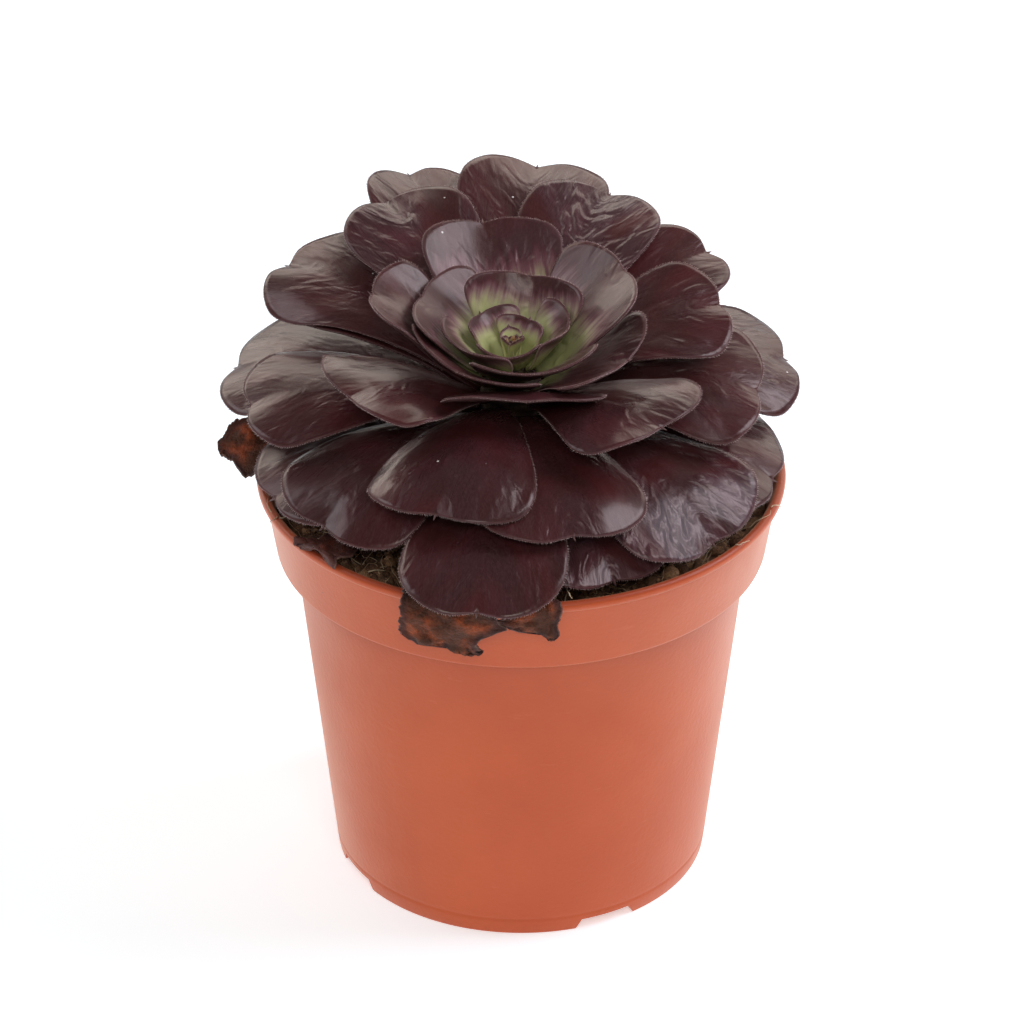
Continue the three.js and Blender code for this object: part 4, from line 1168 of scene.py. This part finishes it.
def on_soil(point):
    """The nearest place to a point that is inside the pot and not below the soil."""
    x, y = point[:2] - POT_AXIS[:2]
    shrink = min(1.0, (inner_radius(SOIL_LEVEL) - 0.8) / math.hypot(x, y))
    x, y = x * shrink, y * shrink
    return np.array([x, y, max(point[2], soil_height(x, y) + 0.1)]) + POT_AXIS


def on_rim(point):
    """The nearest place to a point that is above the pot's rim and not far beyond it."""
    x, y = point[:2] - POT_AXIS[:2]
    shrink = min(1.0, (LIP_RADIUS + 1.2) / math.hypot(x, y))
    lowest = POT_HEIGHT + 0.1 if math.hypot(x, y) > LIP_RADIUS - 2.6 else SOIL_LEVEL
    return np.array([x * shrink, y * shrink, max(point[2], lowest)]) + POT_AXIS


def scattered(random, reach, least_share):
    """Angle and radius of a random place within a reach, not in the middle."""
    radius = reach * math.sqrt(random.uniform(least_share, 1.0))
    return random.uniform(0, 2 * math.pi), radius


class AEONIUM_OT_soil(Operator):
    """Build the peat that fills the pot, with its crumbs and fibres"""
    bl_idname = "aeonium.soil"
    bl_label = "Soil"

    def execute(self, context):
        settings = context.scene.aeonium_soil
        random = np.random.default_rng(settings.seed)
        shape = Shape(crumb_tone=1, fibre=1)
        rings, sides = 57, 220
        wall = inner_radius(SOIL_LEVEL) - 0.35
        radii = np.linspace(8.0, wall, rings)
        points = [on_surface(angle, radius) for radius in radii for angle in angles(sides)]
        tones = [0.3 + 0.8 * noise.noise(Vector((x, y, 3.0)) * 0.6) for x, y, _ in points]
        heights = (BAND_FOOT_HEIGHT + 2.0, BAND_FOOT_HEIGHT - 2.0, FLOOR_TOP + 0.5)
        points += [
            polar(angle, inner_radius(height) - 0.6, height)
            for height in heights for angle in angles(sides)]
        tones += [0.2] * (len(heights) * sides)
        shape.add(points + POT_AXIS, tube_faces(rings + len(heights), sides, inward=True), crumb_tone=tones)
        for _ in range(settings.crumbs):
            angle, radius = scattered(random, wall - 2.0, 0.4)
            size = min(0.3 + random.exponential(0.42), 1.7)
            radii = size * random.uniform(0.6, 1.3, 3)
            centre = on_surface(angle, radius, 0.3 * size) + POT_AXIS
            add_ball(shape, centre, radii, random, 0.28, crumb_tone=random.beta(0.8, 1.6))
        for _ in range(settings.fibres):
            angle, radius = scattered(random, wall - 3.0, 0.45)
            start = on_surface(angle, radius, random.uniform(0.1, 0.8)) + POT_AXIS
            heading = unit(np.append(random.uniform(-1, 1, 2), random.uniform(-0.1, 0.35)))
            length, thickness = random.uniform(3, 13), random.uniform(0.09, 0.22)
            add_fibre(shape, start, heading, length, thickness, random, on_soil)
        made = shape.build("Soil", soil_material())
        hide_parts("soil")
        return {"FINISHED"}


class AEONIUM_OT_strays(Operator):
    """Build the fibres that have caught on the rim of the pot"""
    bl_idname = "aeonium.strays"
    bl_label = "Stray fibres"

    def execute(self, context):
        random = np.random.default_rng(23)
        shape = Shape(crumb_tone=1, fibre=1)
        for azimuth, radius, above, along, outward, length, *bend in STRAY_FIBRES:
            angle = math.radians(azimuth)
            out = polar(angle, 1.0)
            around = np.cross((0, 0, 1), out)
            start = polar(angle, radius, POT_HEIGHT + above) + POT_AXIS
            heading = unit(around * along + out * outward + (0, 0, 0.12 - 0.12 * above))
            add_fibre(shape, start, heading, length, 0.17, random, on_rim, *bend)
        shape.build("Stray_fibres", soil_material())
        return {"FINISHED"}


# Pot
def pot_profile():
    """Closed outline of the pot's wall: up the outside, over the lip, down the inside, under the floor."""
    def beside(radius, height, *steps):
        return [(radius + out, height + up) for out, up in steps]

    def outside(*heights):
        return [(outer_radius(height), height) for height in heights]

    inside = BAND_FOOT_RADIUS - WALL_THICKNESS
    ring_inside = FOOT_RADIUS - FOOT_RING_WIDTH
    return [
        *beside(ring_inside, 0, (0, 0.15), (0.25, 0)),
        *beside(FOOT_RADIUS, 0, (-0.45, 0), (-0.15, 0.12), (0, 0.45)),
        # a groove above the foot
        *outside(3.2, 3.9),
        (outer_radius(4.1) - 0.1, 4.15), (outer_radius(4.5) - 0.03, 4.5),
        *outside(5.2, 20, 40, 60, BAND_FOOT_HEIGHT - 1.4),
        # the step to the band
        (outer_radius(BAND_FOOT_HEIGHT - 0.6) + 0.1, BAND_FOOT_HEIGHT - 0.7),
        (outer_radius(BAND_FOOT_HEIGHT) + 0.7, BAND_FOOT_HEIGHT - 0.2),
        *beside(BAND_FOOT_RADIUS, BAND_FOOT_HEIGHT, (-0.7, 0), (-0.2, 0.35), (0, 0.9)),
        # the rolled lip
        *beside(BAND_TOP_RADIUS, POT_HEIGHT - LIP_DEPTH, (-0.1, -0.6), (0.2, 0), (0.8, 0.15)),
        *beside(LIP_RADIUS, POT_HEIGHT - LIP_DEPTH, (-0.5, 0.35), (-0.08, 0.9)),
        *beside(LIP_RADIUS, POT_HEIGHT, (0, -1.2), (-0.12, -0.6), (-0.45, -0.15), (-0.95, 0), (-1.6, -0.12),
                (-2.2, -0.7), (-2.6, -1.6)),
        *beside(BAND_TOP_RADIUS, POT_HEIGHT - LIP_DEPTH, (-1.3, -0.4)),
        # the inside and the floor
        (inner_radius(90), 90),
        *beside(inside, BAND_FOOT_HEIGHT, (0, 1.4), (-0.4, 0.4)),
        (outer_radius(BAND_FOOT_HEIGHT) - WALL_THICKNESS, BAND_FOOT_HEIGHT - 1.4),
        *[(inner_radius(height), height) for height in (60, 30, FLOOR_TOP + 1)],
        (inner_radius(FLOOR_TOP) - 1, FLOOR_TOP),
        *[(radius, FLOOR_TOP) for radius in (30, 15, 0)],
        *[(radius, FLOOR_UNDERSIDE) for radius in (0, 15, 30, ring_inside - 0.3)],
        (ring_inside, FLOOR_UNDERSIDE - 0.3),
    ]


def lathe(profile, sides):
    """Points and faces of a closed outline turned about the vertical, with one point on the axis."""
    points, faces, rings = [], [], []
    for radius, height in profile:
        ring = [polar(angle, radius, height) for angle in angles(sides if radius > 0 else 1)]
        rings.append(range(len(points), len(points) + len(ring)))
        points += ring
    for lower, upper in zip(rings, rings[1:] + rings[:1]):
        for k in range(sides):
            corners = (lower, k), (lower, k + 1), (upper, k + 1), (upper, k)
            face = tuple(dict.fromkeys(ring[place % len(ring)] for ring, place in corners))
            if len(face) > 2:
                faces.append(face)
    return np.array(points), faces


def notch_cutter(angle):
    """A tapered block that cuts one water notch out of the foot ring."""
    half, top = NOTCH_LENGTH / 2, NOTCH_LENGTH / 2 - NOTCH_SLOPE
    section = (
        (-half, -1.0), (half, -1.0), (half, 0.0), (top, NOTCH_HEIGHT), (-top, NOTCH_HEIGHT), (-half, 0.0),
    )
    points = np.array([(x, y, z) for x in (FOOT_RADIUS - 9, FOOT_RADIUS + 3) for y, z in section])
    points = (turned(points, angle) + POT_AXIS) * MM
    return new_mesh_object("notch_cutter", points, tube_faces(2, len(section)))


def hole_cutter(centre):
    """A round plug that cuts one drain hole."""
    heights = (FLOOR_UNDERSIDE - 2, FLOOR_TOP + 2)
    sides = 32
    points = [polar(angle, DRAIN_HOLE_RADIUS, height) for height in heights for angle in angles(sides)]
    return new_mesh_object("hole_cutter", (points + centre + POT_AXIS) * MM, tube_faces(2, sides))


def cut(piece, tools):
    """Cuts the tools out of a piece, removes them and keeps the piece's edges crisp."""
    for tool in tools:
        modifier = piece.modifiers.new("Cut", "BOOLEAN")
        modifier.operation = "DIFFERENCE"
        modifier.object = tool
        modifier.solver = "EXACT"
    graph = bpy.context.evaluated_depsgraph_get()
    mesh = bpy.data.meshes.new_from_object(piece.evaluated_get(graph))
    piece.modifiers.clear()
    piece.data = mesh
    for tool in tools:
        bpy.data.objects.remove(tool)
    mesh.set_sharp_from_angle(angle=math.radians(38))


class AEONIUM_OT_pot(Operator):
    """Build the nursery pot with its rolled lip, its water notches and its drain holes"""
    bl_idname = "aeonium.pot"
    bl_label = "Pot"

    def execute(self, context):
        points, faces = lathe(pot_profile(), context.scene.aeonium_pot.segments)
        inside = [math.hypot(x, y) < inner_radius(height) + 0.9 for x, y, height in points]
        shape = Shape(inner_wall=1)
        shape.add(points + POT_AXIS, faces, inner_wall=inside)
        made = shape.build("Pot", pot_material())
        holes = [np.zeros(3)] + [polar(math.radians(angle), DRAIN_RING_RADIUS) for angle in NOTCH_ANGLES]
        cut(made, [*map(notch_cutter, NOTCH_ANGLES), *map(hole_cutter, holes)])
        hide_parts("pot")
        return {"FINISHED"}


# Stage
def area_light(name, place, target, size, brightness, tint):
    """A soft rectangular light that faces a point, in millimetres; its brightness is in white walls."""
    light = bpy.data.lights.new(name, "AREA")
    light.shape = "RECTANGLE"
    light.size, light.size_y = (side * MM for side in size)
    light.energy = brightness * light.size * light.size_y * math.pi
    light.color = tint
    made = put_in_scene(name, light)
    made.location = Vector(place) * MM
    made.rotation_euler = (Vector(target) - Vector(place)).to_track_quat("-Z", "Y").to_euler()
    made.visible_camera = False


class AEONIUM_OT_stage(Operator):
    """Build the pale floor, the studio lights and the camera"""
    bl_idname = "aeonium.stage"
    bl_label = "Stage"

    def execute(self, context):
        settings = context.scene.aeonium_stage
        scene = context.scene
        reach = 3.0
        corners = [(-reach, -reach, 0), (reach, -reach, 0), (reach, reach, 0), (-reach, reach, 0)]
        floor = new_mesh_object("Floor", corners, [(0, 1, 2, 3)])
        floor.data.materials.append(floor_material())
        world = bpy.data.worlds.new("Pale room")
        world.use_nodes = True
        scene.world = world
        nodes = Nodes(world.node_tree)
        sky = world.node_tree.nodes["Background"].inputs
        seen = nodes.add("LightPath")["Is Camera Ray"]
        nodes.feed(sky["Strength"], nodes.ramp(seen, 0.0, 1.0, settings.surround, 1.0))
        nodes.feed(sky["Color"], (1.0, 0.98, 0.97))
        side, back = settings.side_light, settings.back_light
        pot, plant = (0, 0, 90), (0, 0, 130)
        cool, warm, cream = (0.93, 0.91, 1.0), (1.0, 0.955, 0.91), (1.0, 0.89, 0.8)
        area_light("Right light", (800, 120, 850), pot, (600, 720), side, cool)
        area_light("Left light", (-860, 220, 780), pot, (560, 560), 0.42 * side, cool)
        area_light("Back light", (0, 1300, 700), plant, (3000, 750), back, cream)
        area_light("Back left light", (-1050, 1050, 640), plant, (1300, 750), 0.42 * back, cream)
        area_light("Front light", (0, -1500, 1400), pot, (1050, 600), settings.front_light, warm)
        elevation = math.radians(CAMERA_ELEVATION)
        away = np.array([0.0, -math.cos(elevation), math.sin(elevation)])
        up = np.array([0.0, math.sin(elevation), math.cos(elevation)])
        place = POT_AXIS + (0.0, 0.0, CAMERA_TARGET_HEIGHT) + away * CAMERA_DISTANCE + up * CAMERA_UP
        place = place + (CAMERA_RIGHT, 0.0, 0.0)
        lens = bpy.data.cameras.new("Camera")
        lens.lens = CAMERA_LENS
        lens.sensor_width = 36.0
        lens.clip_end = 20.0
        camera = put_in_scene("Camera", lens)
        camera.location = Vector(place) * MM
        camera.rotation_euler = (math.pi / 2 - elevation, 0.0, 0.0)
        scene.camera = camera
        scene.view_settings.view_transform = "Standard"
        return {"FINISHED"}


class AEONIUM_PT_panel(Panel):
    bl_idname = "AEONIUM_PT_panel"
    bl_label = "Potted aeonium"
    bl_space_type = "VIEW_3D"
    bl_region_type = "UI"
    bl_category = "Aeonium"

    def draw(self, context):
        for name, settings in SETTINGS.items():
            box = self.layout.box()
            for setting in settings.__annotations__:
                box.prop(getattr(context.scene, name), setting)
        for operator in OPERATORS:
            self.layout.operator(operator.bl_idname)


OPERATORS = (
    AEONIUM_OT_stage, AEONIUM_OT_pot, AEONIUM_OT_soil, AEONIUM_OT_stem, AEONIUM_OT_leaves, AEONIUM_OT_heart,
    AEONIUM_OT_withered, AEONIUM_OT_strays,
)
SETTINGS = {
    "aeonium_leaves": LeafSettings,
    "aeonium_pot": PotSettings,
    "aeonium_soil": SoilSettings,
    "aeonium_stage": StageSettings,
}


def register():
    for name, settings in SETTINGS.items():
        bpy.utils.register_class(settings)
        setattr(bpy.types.Scene, name, PointerProperty(type=settings))
    for made in (*OPERATORS, AEONIUM_PT_panel):
        bpy.utils.register_class(made)


def unregister():
    for made in (AEONIUM_PT_panel, *reversed(OPERATORS)):
        bpy.utils.unregister_class(made)
    for name, settings in SETTINGS.items():
        delattr(bpy.types.Scene, name)
        bpy.utils.unregister_class(settings)


def main():
    register()
    bpy.ops.aeonium.stage()
    bpy.ops.aeonium.pot()
    bpy.ops.aeonium.soil()
    bpy.ops.aeonium.stem()
    bpy.ops.aeonium.leaves()
    bpy.ops.aeonium.heart()
    bpy.ops.aeonium.withered()
    bpy.ops.aeonium.strays()


if __name__ == "__main__":
    main()
